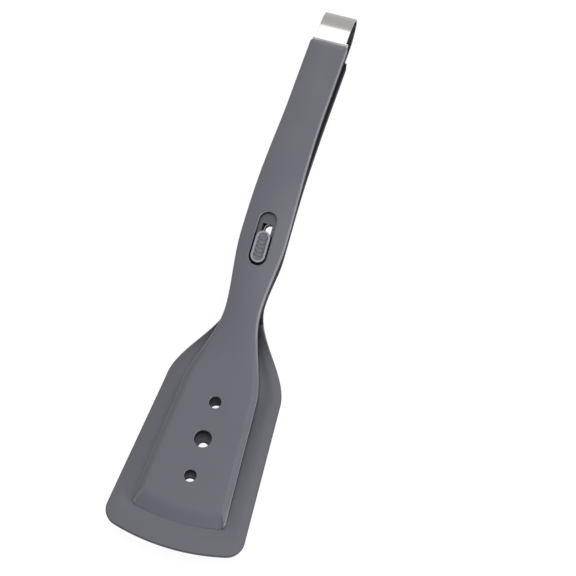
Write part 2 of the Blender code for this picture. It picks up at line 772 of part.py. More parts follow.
def build_lower_skin(finish):
    """Grey outer moulding of the lower arm."""
    dish = [LOWER_TIP_RIM, LOWER_TIP_RIM + LOWER_DISH_SLOPE_WIDTH]
    stations = stations_between(LOWER_OUTLINE, 0.0, LOWER_PATH.length, dish)
    skin = loft("lower_arm_skin", [lower_ring(station) for station in stations], finish)
    holes = lower_hole_stations()
    channel = core_with_holes(LOWER_CORE, "channel", holes, LOWER_HOLE_RADII, CLEARANCE)
    reshape(skin, [channel])
    begin, end = foot_room()
    sight = stadium(SIGHT_SLOT_WIDTH, begin, end)
    cutters = hole_cutters(holes, LOWER_HOLE_RADII, 0.0)
    cutters.append(prism("sight", sight, -HANDLE_CROWN - OVERRUN, SKIN_WALL + OVERRUN))
    cutters.append(band_pocket(LOWER_PATH, 1))
    reshape(skin, cutters)
    form(skin, LOWER_PATH)
    return skin


def foot_room():
    """Stations between which the hook's foot moves in the lower arm."""
    begin = CATCH_STATION - STEM_LENGTH / 2 - FOOT_ROOM
    end = CATCH_STATION + LOCK_TRAVEL + STEM_LENGTH / 2 + CATCH_EXIT_ROOM
    return begin, end


def catch_span():
    begin, end = foot_room()
    middle = (begin + end) / 2
    return middle - CATCH_LENGTH / 2, middle + CATCH_LENGTH / 2


def catch_screw_stations():
    begin, end = catch_span()
    return [begin + CATCH_SCREW_INSET, end - CATCH_SCREW_INSET]


def catch_screw_profile(grow):
    over = OVERRUN if grow else 0.0
    cone = CATCH_SCREW_HEAD - CATCH_SCREW_RADIUS
    return [
        (0.0, over),
        (CATCH_SCREW_HEAD + grow, over),
        (CATCH_SCREW_HEAD + grow, -grow),
        (CATCH_SCREW_RADIUS + grow, -cone * CATCH_SCREW_CONE_SHARE - grow),
        (CATCH_SCREW_RADIUS + grow, -CATCH_SCREW_LENGTH - grow),
        (0.0, -CATCH_SCREW_LENGTH - grow),
    ]


def catch_screw(name, station, grow):
    piece = turned(name, catch_screw_profile(grow), SCREW_SIDES)
    move_mesh(piece, Matrix.Translation((0.0, station, CATCH_TOP)))
    return piece


def build_lower_core(finish):
    """Stiff insert of the lower arm, with the seat of the keyhole plate."""
    holes = lower_hole_stations()
    core = core_with_holes(LOWER_CORE, "lower_arm_core", holes, LOWER_HOLE_RADII, 0.0, finish)
    begin, end = catch_span()
    seat = rectangle(CATCH_WIDTH + 2 * CLEARANCE, begin - CLEARANCE, end + CLEARANCE)
    seat_floor = CATCH_TOP - CATCH_THICKNESS - CLEARANCE
    room_start, room_end = foot_room()
    room = rectangle(FOOT_WIDTH + 2 * FOOT_ROOM, room_start, room_end)
    cutters = [
        prism("seat", seat, seat_floor, HANDLE_DEPTH + OVERRUN),
        prism("room", room, 0.0, HANDLE_DEPTH + OVERRUN),
        band_pocket(LOWER_PATH, 1),
    ]
    cutters += [catch_screw("screw_seat", station, CLEARANCE) for station in catch_screw_stations()]
    cutters += [rivet("seat", station, 1, CLEARANCE) for station in rivet_stations(LOWER_PATH)]
    reshape(core, cutters)
    form(core, LOWER_PATH)
    return core


def build_catch(finish):
    """Keyhole plate: the foot drops through the wide end and slides under the narrow one."""
    begin, end = catch_span()
    plate = prism(
        "lock_catch", rectangle(CATCH_WIDTH, begin, end), CATCH_TOP - CATCH_THICKNESS, CATCH_TOP, finish
    )
    room_start, room_end = foot_room()
    wide_end = CATCH_STATION + STEM_LENGTH / 2 + CATCH_EXIT_ROOM
    narrow = stadium(STEM_WIDTH + 2 * CATCH_SLOT_GAP, CATCH_STATION, room_end)
    wide = rectangle(FOOT_WIDTH + 2 * CATCH_SLOT_GAP, room_start, wide_end)
    cutters = [
        prism("wide", wide, 0.0, HANDLE_DEPTH + OVERRUN),
        prism("narrow", narrow, 0.0, HANDLE_DEPTH + OVERRUN),
    ]
    cutters += [catch_screw("screw_seat", station, CLEARANCE) for station in catch_screw_stations()]
    reshape(plate, cutters)
    form(plate, LOWER_PATH)
    return plate


def build_catch_screws(finish):
    """The two countersunk screws of the keyhole plate."""
    screws = []
    for place, station in zip(("front", "rear"), catch_screw_stations()):
        piece = catch_screw(f"catch_screw_{place}", station, 0.0)
        piece.data.materials.append(finish)
        form(piece, LOWER_PATH)
        screws.append(piece)
    return screws


def build_button(finish):
    """Ribbed thumb slide with a raised rim, modelled about its rest place."""
    bottom = -SLOT_DEPTH + CLEARANCE
    outline = stadium(BUTTON_WIDTH, -BUTTON_LENGTH / 2, BUTTON_LENGTH / 2)
    button = prism("lock_button", outline, bottom, BUTTON_PROUD, finish)
    shape = bmesh.new()
    shape.from_mesh(button.data)
    top = max(shape.faces, key=lambda face: face.calc_center_median().z)
    bmesh.ops.bevel(shape, geom=list(top.edges), offset=BUTTON_ROUND, segments=2, affect="EDGES")
    top = max(shape.faces, key=lambda face: face.calc_center_median().z)
    bmesh.ops.inset_region(shape, faces=[top], thickness=BUTTON_RIM - BUTTON_ROUND)
    bmesh.ops.inset_region(shape, faces=[top], thickness=BUTTON_ROUND, depth=-BUTTON_DISH)
    shape.to_mesh(button.data)
    shape.free()
    ribs = []
    for index in range(RIB_COUNT):
        middle = (index - (RIB_COUNT - 1) / 2) * RIB_PITCH
        bar = rectangle(RIB_LENGTH, middle - RIB_WIDTH / 2, middle + RIB_WIDTH / 2)
        low = BUTTON_PROUD - BUTTON_DISH - RIB_SINK
        ribs.append(prism("rib", bar, low, low + RIB_SINK + RIB_HEIGHT))
    reshape(button, ribs, "UNION")
    leaf_begin = leaf_start() - CLEARANCE
    leaf_end = leaf_start() + LEAF_LENGTH + CLEARANCE
    leaf_room = rectangle(LEAF_WIDTH + 2 * CLEARANCE, leaf_begin, leaf_end)
    pocket_top = bottom + LEAF_RISE + LEAF_THICKNESS
    bore_radius = SCREW_RADIUS + CLEARANCE
    bore_top = bottom + SCREW_REACH + CLEARANCE
    bore = [(0.0, -HANDLE_DEPTH), (bore_radius, -HANDLE_DEPTH), (bore_radius, bore_top), (0.0, bore_top)]
    cutters = [
        prism("leaf_room", leaf_room, bottom - OVERRUN, pocket_top),
        turned("screw_seat", bore, SCREW_SIDES),
    ]
    reshape(button, cutters)
    place_local(button, UPPER_PATH, BUTTON_STATION)
    return button


def strip_ring(half, first, second):
    """Section of a flat strip between two (y, z) places of its faces."""
    near = [(-half, *first), (half, *first)]
    return near + [(half, *second), (-half, *second)]


def leaf_start():
    """The leaf lies in the blade end of the button, clear of the stem."""
    return -STEM_LENGTH / 2 - CLEARANCE - LEAF_LENGTH


def build_leaf(finish):
    """Bowed leaf spring between the button and the floor of the slot."""
    top = -SLOT_DEPTH + LEAF_RISE + LEAF_THICKNESS
    rings = []
    for step in range(LEAF_STATIONS):
        share = step / (LEAF_STATIONS - 1)
        sag = LEAF_RISE * math.sin(math.pi * share)
        station = leaf_start() + LEAF_LENGTH * share
        half = LEAF_WIDTH / 2
        high = top - sag
        rings.append(strip_ring(half, (station, high - LEAF_THICKNESS), (station, high)))
    leaf = loft("detent_spring", rings, finish)
    place_local(leaf, UPPER_PATH, BUTTON_STATION)
    return leaf


def build_hook(finish):
    """Guide plate under the slot's floor, stem, and T-foot in the lower arm."""
    head = -SLOT_DEPTH
    guide_low = GUIDE_TOP - GUIDE_THICKNESS
    half_stem, half_foot = STEM_WIDTH / 2, FOOT_WIDTH / 2
    side = [(half_stem, head), (half_stem, STEM_BOTTOM), (half_foot, STEM_BOTTOM)]
    side += [(half_foot, FOOT_BOTTOM + CLEARANCE), (half_foot - CLEARANCE, FOOT_BOTTOM)]
    outline = side + [(-x, z) for x, z in reversed(side)]
    hook = prism("lock_hook", outline, -STEM_LENGTH / 2, STEM_LENGTH / 2, finish)
    move_mesh(hook, Matrix.Rotation(math.pi / 2, 4, "X"))
    plate = rectangle(GUIDE_WIDTH, -GUIDE_LENGTH / 2, GUIDE_LENGTH / 2)
    reshape(hook, [prism("guide", plate, guide_low, GUIDE_TOP)], "UNION")
    bore = turned("bore", lock_screw_profile(CLEARANCE), SCREW_SIDES)
    reshape(hook, [bore])
    place_local(hook, UPPER_PATH, BUTTON_STATION)
    return hook


def lock_screw_profile(grow):
    """Screw from under the foot up into the button."""
    low = FOOT_BOTTOM + (-OVERRUN if grow else CLEARANCE)
    shoulder = FOOT_BOTTOM + CLEARANCE + SCREW_HEAD_DEPTH
    tip = -SLOT_DEPTH + CLEARANCE + SCREW_REACH + (OVERRUN if grow else 0.0)
    return [
        (0.0, low),
        (SCREW_HEAD_RADIUS + grow, low),
        (SCREW_HEAD_RADIUS + grow, shoulder + grow),
        (SCREW_RADIUS + grow, shoulder + grow),
        (SCREW_RADIUS + grow, tip),
        (0.0, tip),
    ]


def build_lock_screw(finish):
    screw = turned("lock_screw", lock_screw_profile(0.0), SCREW_SIDES, finish)
    place_local(screw, UPPER_PATH, BUTTON_STATION)
    return screw


def band_half(path, inward):
    """Centre line of one leg, from the tongue's end out to the start of the bow."""
    tongue_end = path.length - END_WALL - BAND_TONGUE_LENGTH
    root = path.length + CLEARANCE
    leg_height = (BAND_DEPTH_IN_ARM - BAND_JOGGLE) * inward
    height = BAND_DEPTH_IN_ARM * inward
    tongue, wide, narrow = BAND_TONGUE_WIDTH / 2, BAND_ROOT_WIDTH / 2, BAND_WIDTH / 2
    joggle_end = root + BAND_SHOULDER_RUN + BAND_JOGGLE_RUN
    plan = [
        (tongue_end, height, tongue),
        (path.length - END_WALL, height, tongue),
        (root, height, tongue),
        (root + BAND_SHOULDER_RUN, height, wide),
        (joggle_end, leg_height, wide),
        (joggle_end + BAND_SHOULDER_RUN, leg_height, narrow),
        (path.length + BAND_LEG, leg_height, narrow),
    ]
    return [(path.place((0.0, station, level)), half) for station, level, half in plan]


def bow_frame():
    """Middle of the bow's open side, its outward direction and its half depth."""
    upper = band_half(UPPER_PATH, -1)[-1][0]
    lower = band_half(LOWER_PATH, 1)[-1][0]
    middle = (upper + lower) / 2
    across = (upper - lower) / 2
    outward = Vector((0.0, across.z, -across.y)).normalized()
    return middle, outward, across


def pivot_point():
    """Axis about which the upper arm swings as the bow flexes."""
    middle, outward, _ = bow_frame()
    return middle + outward * (BAND_BOW_RUN * BOW_PIVOT_SHARE)


def build_band(finish):
    """Steel band, lofted round the bow from one tongue to the other."""
    middle, outward, across = bow_frame()
    line = band_half(UPPER_PATH, -1)
    for step in range(1, ARC_SIDES):
        angle = math.pi / 2 - math.pi * step / ARC_SIDES
        spot = middle + outward * (BAND_BOW_RUN * math.cos(angle)) + across * math.sin(angle)
        line.append((spot, BAND_WIDTH / 2))
    line += list(reversed(band_half(LOWER_PATH, 1)))
    rings = []
    for index, (spot, half) in enumerate(line):
        before = line[max(0, index - 1)][0]
        after = line[min(len(line) - 1, index + 1)][0]
        along = (after - before).normalized()
        normal = Vector((0.0, -along.z, along.y)) * (BAND_THICKNESS / 2)
        outside = spot + normal
        inside = spot - normal
        rings.append(strip_ring(half, outside.yz, inside.yz))
    band = loft("spring_band", rings, finish)
    holes = []
    for path, inward in ((UPPER_PATH, -1), (LOWER_PATH, 1)):
        for station in rivet_stations(path):
            hole = rivet("hole", station, inward, CLEARANCE)
            form(hole, path)
            holes.append(hole)
    reshape(band, holes)
    shade(band)
    return band


def end_corner():
    """Outer corner of the lower handle's end, in the side view."""
    return LOWER_PATH.place((0.0, LOWER_PATH.length, -HANDLE_CROWN))


def rest_tilt():
    """Angle at which the closed tongs lie on a table, on the heel and the handle's end."""
    corner = end_corner()
    low, high = 0.0, LOWER_RAMP_ANGLE
    for _ in range(50):
        tilt = (low + high) / 2
        heel = LOWER_PATH.place((0.0, LOWER_SOLE_RUN + LOWER_HEEL_RADIUS * tilt, 0.0))
        over = (corner.z - heel.z) * math.cos(tilt) - (corner.y - heel.y) * math.sin(tilt)
        if over > 0:
            low = tilt
        else:
            high = tilt
    return tilt


def empty(name, parent, spot=(0, 0, 0)):
    anchor = bpy.data.objects.new(name, None)
    bpy.context.scene.collection.objects.link(anchor)
    anchor.parent = parent
    anchor.location = spot
    return anchor


def carry(pieces, anchor, origin):
    """Parent pieces to an anchor, with their meshes measured from it."""
    for piece in pieces:
        move_mesh(piece, Matrix.Translation(-Vector(origin)))
        piece.parent = anchor


def lay_on_table(table):
    """Turn the closed tongs to their resting pose, centred over the origin."""
    table.rotation_euler = (-rest_tilt(), 0.0, 0.0)
    bpy.context.view_layer.update()
    solids = [thing for thing in bpy.data.objects if thing.type == "MESH"]
    corners = [thing.matrix_world @ vertex.co for thing in solids for vertex in thing.data.vertices]
    ends = [spot.y for spot in corners]
    table.location = (0.0, -(min(ends) + max(ends)) / 2, -min(spot.z for spot in corners))
    bpy.context.view_layer.update()


def build():
    clear_scene()
    grey = material("soft_grey", (0.165, 0.168, 0.198, 1), 0.55)
    nylon = material("dark_nylon", (0.06, 0.062, 0.07, 1), 0.5)
    steel = material("bright_steel", (0.62, 0.61, 0.6, 1), 0.25, 1.0)
    button_grey = material("button_grey", (0.155, 0.158, 0.185, 1), 0.5)
    screw_steel = material("screw_steel", (0.5, 0.5, 0.5, 1), 0.35, 1.0)
    lower = [
        build_lower_skin(grey),
        build_lower_core(nylon),
        build_catch(steel),
        build_band(steel),
    ]
    lower += band_rivets("lower", LOWER_PATH, 1, screw_steel)
    lower += build_catch_screws(screw_steel)
    upper = [
        build_upper_skin(grey),
        build_upper_core(nylon),
    ]
    upper += band_rivets("upper", UPPER_PATH, -1, screw_steel)
    slider = [
        build_button(button_grey),
        build_hook(nylon),
        build_lock_screw(screw_steel),
        build_leaf(steel),
    ]
    table = empty("table_frame", None)
    pivot = pivot_point()
    swing = empty("upper_arm_pivot", table, pivot)
    slide = empty("lock_slide_frame", swing, LOCK_POINT - pivot)
    carry(lower, table, (0, 0, 0))
    carry(upper, swing, pivot)
    carry(slider, slide, LOCK_POINT)
    lay_on_table(table)


build()
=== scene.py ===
"""Looks of a pair of spatula tongs: mouldings, steel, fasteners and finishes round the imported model.

Lengths are in metres. Each arm is modelled straight and flat, as a strip with its stations, and is
then formed along its side profile. In the arms' own frame the lower blade's sole lies on Z = 0 with
its tip at Y = 0; the table turn then lays the closed tongs in the frame's resting place.
"""

import logging
import math
from collections.abc import Callable, Iterable, Sequence
from dataclasses import dataclass
from enum import Enum

import bmesh
import bpy
from mathutils import Matrix, Vector


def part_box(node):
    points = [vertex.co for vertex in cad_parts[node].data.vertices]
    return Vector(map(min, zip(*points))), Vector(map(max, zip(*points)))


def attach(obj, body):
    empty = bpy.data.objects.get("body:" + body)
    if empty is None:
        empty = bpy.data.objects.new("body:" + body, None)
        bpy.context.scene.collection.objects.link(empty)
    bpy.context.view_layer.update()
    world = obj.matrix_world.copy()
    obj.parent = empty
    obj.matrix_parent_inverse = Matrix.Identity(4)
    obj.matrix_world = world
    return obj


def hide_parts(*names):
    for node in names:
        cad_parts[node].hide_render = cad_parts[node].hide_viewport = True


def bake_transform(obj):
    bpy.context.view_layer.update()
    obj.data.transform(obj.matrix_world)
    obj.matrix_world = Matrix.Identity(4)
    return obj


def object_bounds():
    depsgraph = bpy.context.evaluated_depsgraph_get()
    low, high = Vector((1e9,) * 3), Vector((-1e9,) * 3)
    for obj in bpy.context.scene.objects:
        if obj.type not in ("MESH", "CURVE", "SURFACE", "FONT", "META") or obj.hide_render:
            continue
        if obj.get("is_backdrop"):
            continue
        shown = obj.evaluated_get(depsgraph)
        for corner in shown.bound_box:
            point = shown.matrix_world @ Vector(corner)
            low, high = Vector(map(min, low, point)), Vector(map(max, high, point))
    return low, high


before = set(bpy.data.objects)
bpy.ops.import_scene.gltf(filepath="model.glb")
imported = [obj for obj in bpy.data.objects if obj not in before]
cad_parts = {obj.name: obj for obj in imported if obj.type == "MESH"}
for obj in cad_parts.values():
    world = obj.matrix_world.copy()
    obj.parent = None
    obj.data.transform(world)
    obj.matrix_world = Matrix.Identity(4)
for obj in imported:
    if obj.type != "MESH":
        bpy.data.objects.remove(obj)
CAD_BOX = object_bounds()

MM = 0.001
DEG = math.pi / 180
# Point mark of painted light and shade on edges: 1 paints a highlight, -1 paints shade.
PAINTED_LIGHT = "painted_edge_light_and_shade"

Loop = list[Vector]
Pair = tuple[float, float]
log = logging.getLogger("spatula_tongs")


class Body(Enum):
    """The moving groups of the tongs."""

    LOWER = "lower_arm"
    UPPER = "upper_arm"
    SLIDER = "lock_slider"


class Slot(Enum):
    """The finishes that the record names."""

    GREY = "soft_grey"
    NYLON = "dark_nylon"
    BUTTON = "button_grey"
    STEEL = "bright_steel"
    SCREW = "screw_steel"


class Join(Enum):
    """How one solid changes another."""

    CUT = "DIFFERENCE"
    FUSE = "UNION"


def smooth_share(value: float) -> float:
    """Ease from 0 to 1 with level ends."""
    value = min(1.0, max(0.0, value))
    return value * value * (3 - 2 * value)


def mix(first: float, second: float, share: float) -> float:
    """Go from the first value to the second by a share."""
    return first + (second - first) * share


def even_shares(count: int) -> list[float]:
    """Shares from 0 to 1 in equal steps."""
    return [step / count for step in range(count + 1)]


@dataclass(frozen=True)
class Fits:
    """Clearances and steps that all the pieces share."""

    clearance: float = 0.3 * MM
    overrun: float = 1.0 * MM
    station_step: float = 2.6 * MM
    break_edge: float = 0.25 * MM
    form_angle: float = 38 * DEG
    weld: float = 0.001 * MM
    many_corners: int = 12
    level: float = 0.9
    crown_step: float = 3.0 * MM


FITS = Fits()


@dataclass(frozen=True)
class Leg:
    """One straight run or arc of a side profile."""

    begin: float
    length: float
    turn: float
    start: Pair
    heading: float

    def spot(self, distance: float) -> Pair:
        """Place in the side view at a distance into the leg.

        Args:
            distance: Length along the leg from its beginning.

        Returns:
            The Y and Z of the place.
        """
        y, z = self.start
        if abs(self.turn) < 1e-9:
            return y + distance * math.cos(self.heading), z + distance * math.sin(self.heading)
        radius = self.length / self.turn
        end = self.heading + distance / radius
        ahead = radius * (math.sin(end) - math.sin(self.heading))
        rise = radius * (math.cos(self.heading) - math.cos(end))
        return y + ahead, z + rise


class SideProfile:
    """Side view of an arm's outer face, as runs and arcs measured along the face."""

    def __init__(self, start: Pair, heading: float, runs: Sequence[Pair]) -> None:
        """Lay out the legs one after the other.

        Args:
            start: Y and Z of the tip.
            heading: Angle of the first leg over the horizontal.
            runs: Length and turn of each leg.
        """
        self.legs: list[Leg] = []
        station = 0.0
        for length, turn in runs:
            leg = Leg(station, length, turn, start, heading)
            self.legs.append(leg)
            start = leg.spot(length)
            station += length
            heading += turn
        self.length = station

    def leg_at(self, station: float) -> Leg:
        """The leg that holds a station."""
        return [leg for leg in self.legs if leg.begin <= max(0.0, station)][-1]

    def heading(self, station: float) -> float:
        """Angle of the face over the horizontal at a station."""
        leg = self.leg_at(station)
        share = min(1.0, max(0.0, (station - leg.begin) / leg.length))
        return leg.heading + leg.turn * share

    def place(self, flat: Vector) -> Vector:
        """Carry a flat point onto the formed arm.

        Args:
            flat: Place across the arm, station, and height over the outer face.

        Returns:
            The point in the arms' frame.
        """
        leg = self.leg_at(flat.y)
        distance = min(leg.length, max(0.0, flat.y - leg.begin))
        y, z = leg.spot(distance)
        spare = flat.y - leg.begin - distance
        angle = self.heading(flat.y)
        y += spare * math.cos(angle) - flat.z * math.sin(angle)
        z += spare * math.sin(angle) + flat.z * math.cos(angle)
        return Vector((flat.x, y, z))

    def locate(self, spot: Vector) -> Pair:
        """Find a point of the side view on the flat strip.

        Args:
            spot: Point in the arms' frame.

        Returns:
            Its station and its height over the outer face.
        """
        station = self.length / 2
        for _ in range(40):
            foot = self.place(Vector((0.0, station, 0.0)))
            angle = self.heading(station)
            away = spot - foot
            station += away.y * math.cos(angle) + away.z * math.sin(angle)
        return station, away.z * math.cos(angle) - away.y * math.sin(angle)


def arc(radius: float, turn: float) -> Pair:
    """Length and turn of an arc."""
    return radius * abs(turn), turn


@dataclass(frozen=True)
class Draw:
    """How far a loop lies inside the plan outline: at the sides, at the tip and at the end."""

    side: Callable[[float], float]
    tip: float
    end: float


@dataclass(frozen=True)
class PlanOutline:
    """Plan of an arm: arched tip, rounded corners, tapered blade, shoulder, neck, palm and end."""

    tip_width: float
    tip_radius: float
    corner_radius: float
    shoulder_width: float
    shoulder_station: float
    neck_width: float
    neck_station: float
    palm_width: float
    length: float
    waist_width: float = 22.6 * MM
    end_width: float = 22.9 * MM
    palm_before_waist: float = 86.0 * MM
    waist_before_end: float = 46.0 * MM
    end_corner: float = 1.3 * MM
    least_corner: float = 1.2 * MM
    shared_start: float = 30.0 * MM
    tip_steps: int = 16
    corner_steps: int = 10
    side_steps: int = 5
    end_steps: int = 4

    @property
    def taper(self) -> float:
        """Loss of half width for each metre of blade."""
        return (self.tip_width - self.shoulder_width) / 2 / self.shoulder_station

    def half_width(self, station: float) -> float:
        """Half width of the straight-sided blade or of the handle at a station."""
        if station < self.shoulder_station:
            return self.tip_width / 2 - self.taper * station
        waist = self.length - self.waist_before_end
        marks = [
            (self.shoulder_station, self.shoulder_width / 2),
            (self.neck_station, self.neck_width / 2),
            (waist - self.palm_before_waist, self.palm_width / 2),
            (waist, self.waist_width / 2),
            (self.length, self.end_width / 2),
        ]
        for (begin, first), (end, second) in zip(marks, marks[1:]):
            if station <= end:
                return mix(first, second, smooth_share((station - begin) / (end - begin)))
        return marks[-1][1]

    def handle_share(self, station: float) -> float:
        """0 on the blade and 1 on the handle, changing over the shoulder."""
        run = self.neck_station - self.shoulder_station
        return smooth_share((station - self.shoulder_station) / run)

    def stations(self) -> list[float]:
        """Even stations from behind the tip to the end, the same for every loop."""
        run = self.length - self.end_corner - self.shared_start
        count = round(run / FITS.station_step)
        return [self.shared_start + run * share for share in even_shares(count)]

    def right_side(self, draw: Draw) -> list[Pair]:
        """Right half of the outline, drawn in, from the tip's middle to the end's middle.

        Args:
            draw: How far the loop lies inside the outline.

        Returns:
            Places across and along the flat arm.
        """
        slant = math.hypot(1, self.taper)
        inset = draw.side(0.0)
        radius = self.tip_radius - draw.tip
        corner = max(self.corner_radius - max(inset, draw.tip), self.least_corner)
        if inset == 0 and draw.tip == 0:
            corner = self.corner_radius
        half = self.tip_width / 2 - inset * slant
        reach = half - corner * slant
        middle = reach * self.taper + self.tip_radius
        rest = reach**2 + self.tip_radius**2 - (radius - corner) ** 2
        along = (middle - math.sqrt(middle**2 - slant**2 * rest)) / slant**2
        across = reach - self.taper * along
        lean = math.atan2(across, self.tip_radius - along)
        square = math.atan2(1, -self.taper)
        points = []
        for share in even_shares(self.tip_steps)[:-1]:
            angle = lean * share
            points.append((radius * math.sin(angle), self.tip_radius - radius * math.cos(angle)))
        for share in even_shares(self.corner_steps):
            angle = mix(lean, square, share)
            points.append((across + corner * math.sin(angle), along - corner * math.cos(angle)))
        begin = points[-1][1]
        lead = [mix(begin, self.shared_start, share) for share in even_shares(self.side_steps)]
        for station in lead[1:-1] + self.stations():
            points.append((self.half_width(station) - draw.side(station), station))
        return points + self.end_round(draw)

    def end_round(self, draw: Draw) -> list[Pair]:
        """Rounded corner and middle of the arm's end."""
        radius = max(self.end_corner - draw.end, self.end_corner / 2)
        end = self.length - draw.end
        wide = self.half_width(self.length) - draw.side(self.length) - radius
        points = []
        for share in even_shares(self.end_steps)[1:]:
            angle = math.pi / 2 * share
            points.append((wide + radius * math.cos(angle), end - radius + radius * math.sin(angle)))
        return points + [(0.0, end)]


def mirrored(half: Sequence[Vector]) -> Loop:
    """Close a right half, from middle to middle, with its mirror image."""
    left = [Vector((-spot.x, spot.y, spot.z)) for spot in reversed(half[1:-1])]
    return list(half) + left


def stadium(width: float, begin: float, end: float, height: float, sides: int = 12) -> Loop:
    """Slot outline along Y with round ends, at one height."""
    radius = width / 2
    points = []
    for centre, first in ((end - radius, 0.0), (begin + radius, math.pi)):
        for share in even_shares(sides):
            angle = first + math.pi * share
            points.append(Vector((radius * math.cos(angle), centre + radius * math.sin(angle), height)))
    return points


def box_loop(width: float, begin: float, end: float, height: float) -> Loop:
    """Square-cornered outline, at one height."""
    half = width / 2
    corners = ((-half, begin), (half, begin), (half, end), (-half, end))
    return [Vector((x, y, height)) for x, y in corners]


def ring(radius: float, height: float, sides: int, station: float = 0.0) -> Loop:
    """Round outline about an upright axis, half a step off the middle plane."""
    angles = [2 * math.pi * (step + 0.5) / sides for step in range(sides)]
    return [
        Vector((radius * math.cos(angle), station + radius * math.sin(angle), height))
        for angle in angles
    ]


def only(thing: bpy.types.Object) -> None:
    """Make one object the whole selection and the active one."""
    bpy.ops.object.select_all(action="DESELECT")
    thing.select_set(True)
    bpy.context.view_layer.objects.active = thing


class LoopSolid:
    """Closed solid raised loop by loop from a filled circle: extrude the cap, then shape it."""

    def __init__(self, name: str, first: Loop) -> None:
        """Start with the first cap.

        Args:
            name: Name of the piece.
            first: Points of the first loop.
        """
        if bpy.context.selected_objects:
            bpy.ops.object.select_all(action="DESELECT")
        bpy.ops.mesh.primitive_circle_add(vertices=len(first), fill_type="NGON")
        self.thing = bpy.context.object
        self.thing.name = name
        self.thing.data.name = name
        self.loop = [vertex.co.copy() for vertex in self.thing.data.vertices]
        bpy.ops.object.mode_set(mode="EDIT")
        bpy.ops.mesh.select_all(action="SELECT")
        self.settle(first)

    def settle(self, loop: Loop) -> None:
        """Set the selected cap's points on a loop, found by the places they have now."""
        shape = bmesh.from_edit_mesh(self.thing.data)
        places = {tuple(spot): index for index, spot in enumerate(self.loop)}
        for vertex in shape.verts:
            if vertex.select:
                vertex.co = loop[places[tuple(vertex.co)]]
        bmesh.update_edit_mesh(self.thing.data)
        self.loop = [spot.copy() for spot in loop]

    def raise_to(self, loop: Loop) -> None:
        """Extrude the cap and shape it into the next loop."""
        bpy.ops.mesh.extrude_region_move(TRANSFORM_OT_translate={"value": (0.0, 0.0, 0.0)})
        self.settle(loop)

    def finish(self) -> bpy.types.Object:
        """Turn the faces outwards and leave edit mode."""
        bpy.ops.mesh.select_all(action="SELECT")
        bpy.ops.mesh.normals_make_consistent(inside=False)
        bpy.ops.object.mode_set(mode="OBJECT")
        return self.thing


def solid(name: str, loops: Iterable[Loop]) -> bpy.types.Object:
    """A closed solid through a row of equal loops."""
    rows = iter(loops)
    made = LoopSolid(name, next(rows))
    for loop in rows:
        made.raise_to(loop)
    return made.finish()


def lathe(name: str, profile: Sequence[Pair], sides: int, station: float = 0.0) -> bpy.types.Object:
    """Round solid about an upright axis through (radius, height) places."""
    return solid(name, [ring(radius, height, sides, station) for radius, height in profile])


def change(thing: bpy.types.Object, tools: Iterable[bpy.types.Object], join: Join = Join.CUT) -> None:
    """Cut a solid by others, or fuse them to it; the others are used up.

    Args:
        thing: The solid that changes.
        tools: Closed solids.
        join: Whether they cut or add.
    """
    for tool in tools:
        only(thing)
        bpy.ops.object.modifier_add(type="BOOLEAN")
        step = thing.modifiers[-1]
        step.operation = join.value
        step.solver = "EXACT"
        step.object = tool
        bpy.ops.object.modifier_apply(modifier=step.name)
        bpy.data.objects.remove(tool, do_unlink=True)


def split_faces(thing: bpy.types.Object) -> None:
    """Make triangles of faces with many corners, so that they can be formed."""
    only(thing)
    bpy.ops.object.mode_set(mode="EDIT")
    bpy.ops.mesh.select_all(action="DESELECT")
    bpy.ops.mesh.select_face_by_sides(number=4, type="GREATER")
    bpy.ops.mesh.quads_convert_to_tris(ngon_method="BEAUTY")
    bpy.ops.object.mode_set(mode="OBJECT")


def eased_bevel(share: float) -> float:
    """Drop of the blade's bevel across its width: softly bent at the plateau, then straight."""
    bend = 0.45
    start = 0.22
    if share < bend:
        return start * (share / bend) ** 2
    return start + (1 - start) * (share - bend) / (1 - bend)


def score(thing: bpy.types.Object, stations: Sequence[float], places: Sequence[float], handle: float) -> None:
    """Bisect the two broad faces of a flat arm, which gives them the points to bend and swell at.

    Args:
        thing: The flat arm, whose only faces with many corners are its broad ones.
        stations: Stations of the cuts across.
        places: Places of the cuts along the handle.
        handle: Station behind which the cuts along are made.
    """
    only(thing)
    bpy.ops.object.mode_set(mode="EDIT")
    shape = bmesh.from_edit_mesh(thing.data)
    broad = [face for face in shape.faces if len(face.verts) > FITS.many_corners]
    for station in stations:
        broad = bisect(shape, broad, Vector((0.0, station, 0.0)), Vector((0.0, 1.0, 0.0)))
    grip = [face for face in broad if face.calc_center_median().y > handle]
    for place in places:
        grip = bisect(shape, grip, Vector((place, 0.0, 0.0)), Vector((1.0, 0.0, 0.0)))
    bmesh.update_edit_mesh(thing.data)
    bpy.ops.object.mode_set(mode="OBJECT")


def bisect(shape: bmesh.types.BMesh, faces: list, spot: Vector, normal: Vector) -> list:
    """Cut some faces by a plane.

    Args:
        shape: The mesh being edited.
        faces: Faces that are cut.
        spot: A point of the plane.
        normal: Direction square to the plane.

    Returns:
        The faces that come of it.
    """
    edges = {edge for face in faces for edge in face.edges}
    corners = {vertex for face in faces for vertex in face.verts}
    made = bmesh.ops.bisect_plane(
        shape, geom=[*faces, *edges, *corners], dist=FITS.weld, plane_co=spot, plane_no=normal
    )
    return [item for item in made["geom"] if isinstance(item, bmesh.types.BMFace)]


def cut_across(thing: bpy.types.Object, station: float) -> None:
    """Bisect a whole piece at a station."""
    only(thing)
    bpy.ops.object.mode_set(mode="EDIT")
    bpy.ops.mesh.select_all(action="SELECT")
    bpy.ops.mesh.bisect(plane_co=(0.0, station, 0.0), plane_no=(0.0, 1.0, 0.0))
    bpy.ops.object.mode_set(mode="OBJECT")


def form(thing: bpy.types.Object, profile: SideProfile) -> None:
    """Bend a flat piece along an arm's side profile."""
    split_faces(thing)
    for vertex in thing.data.vertices:
        vertex.co = profile.place(vertex.co)


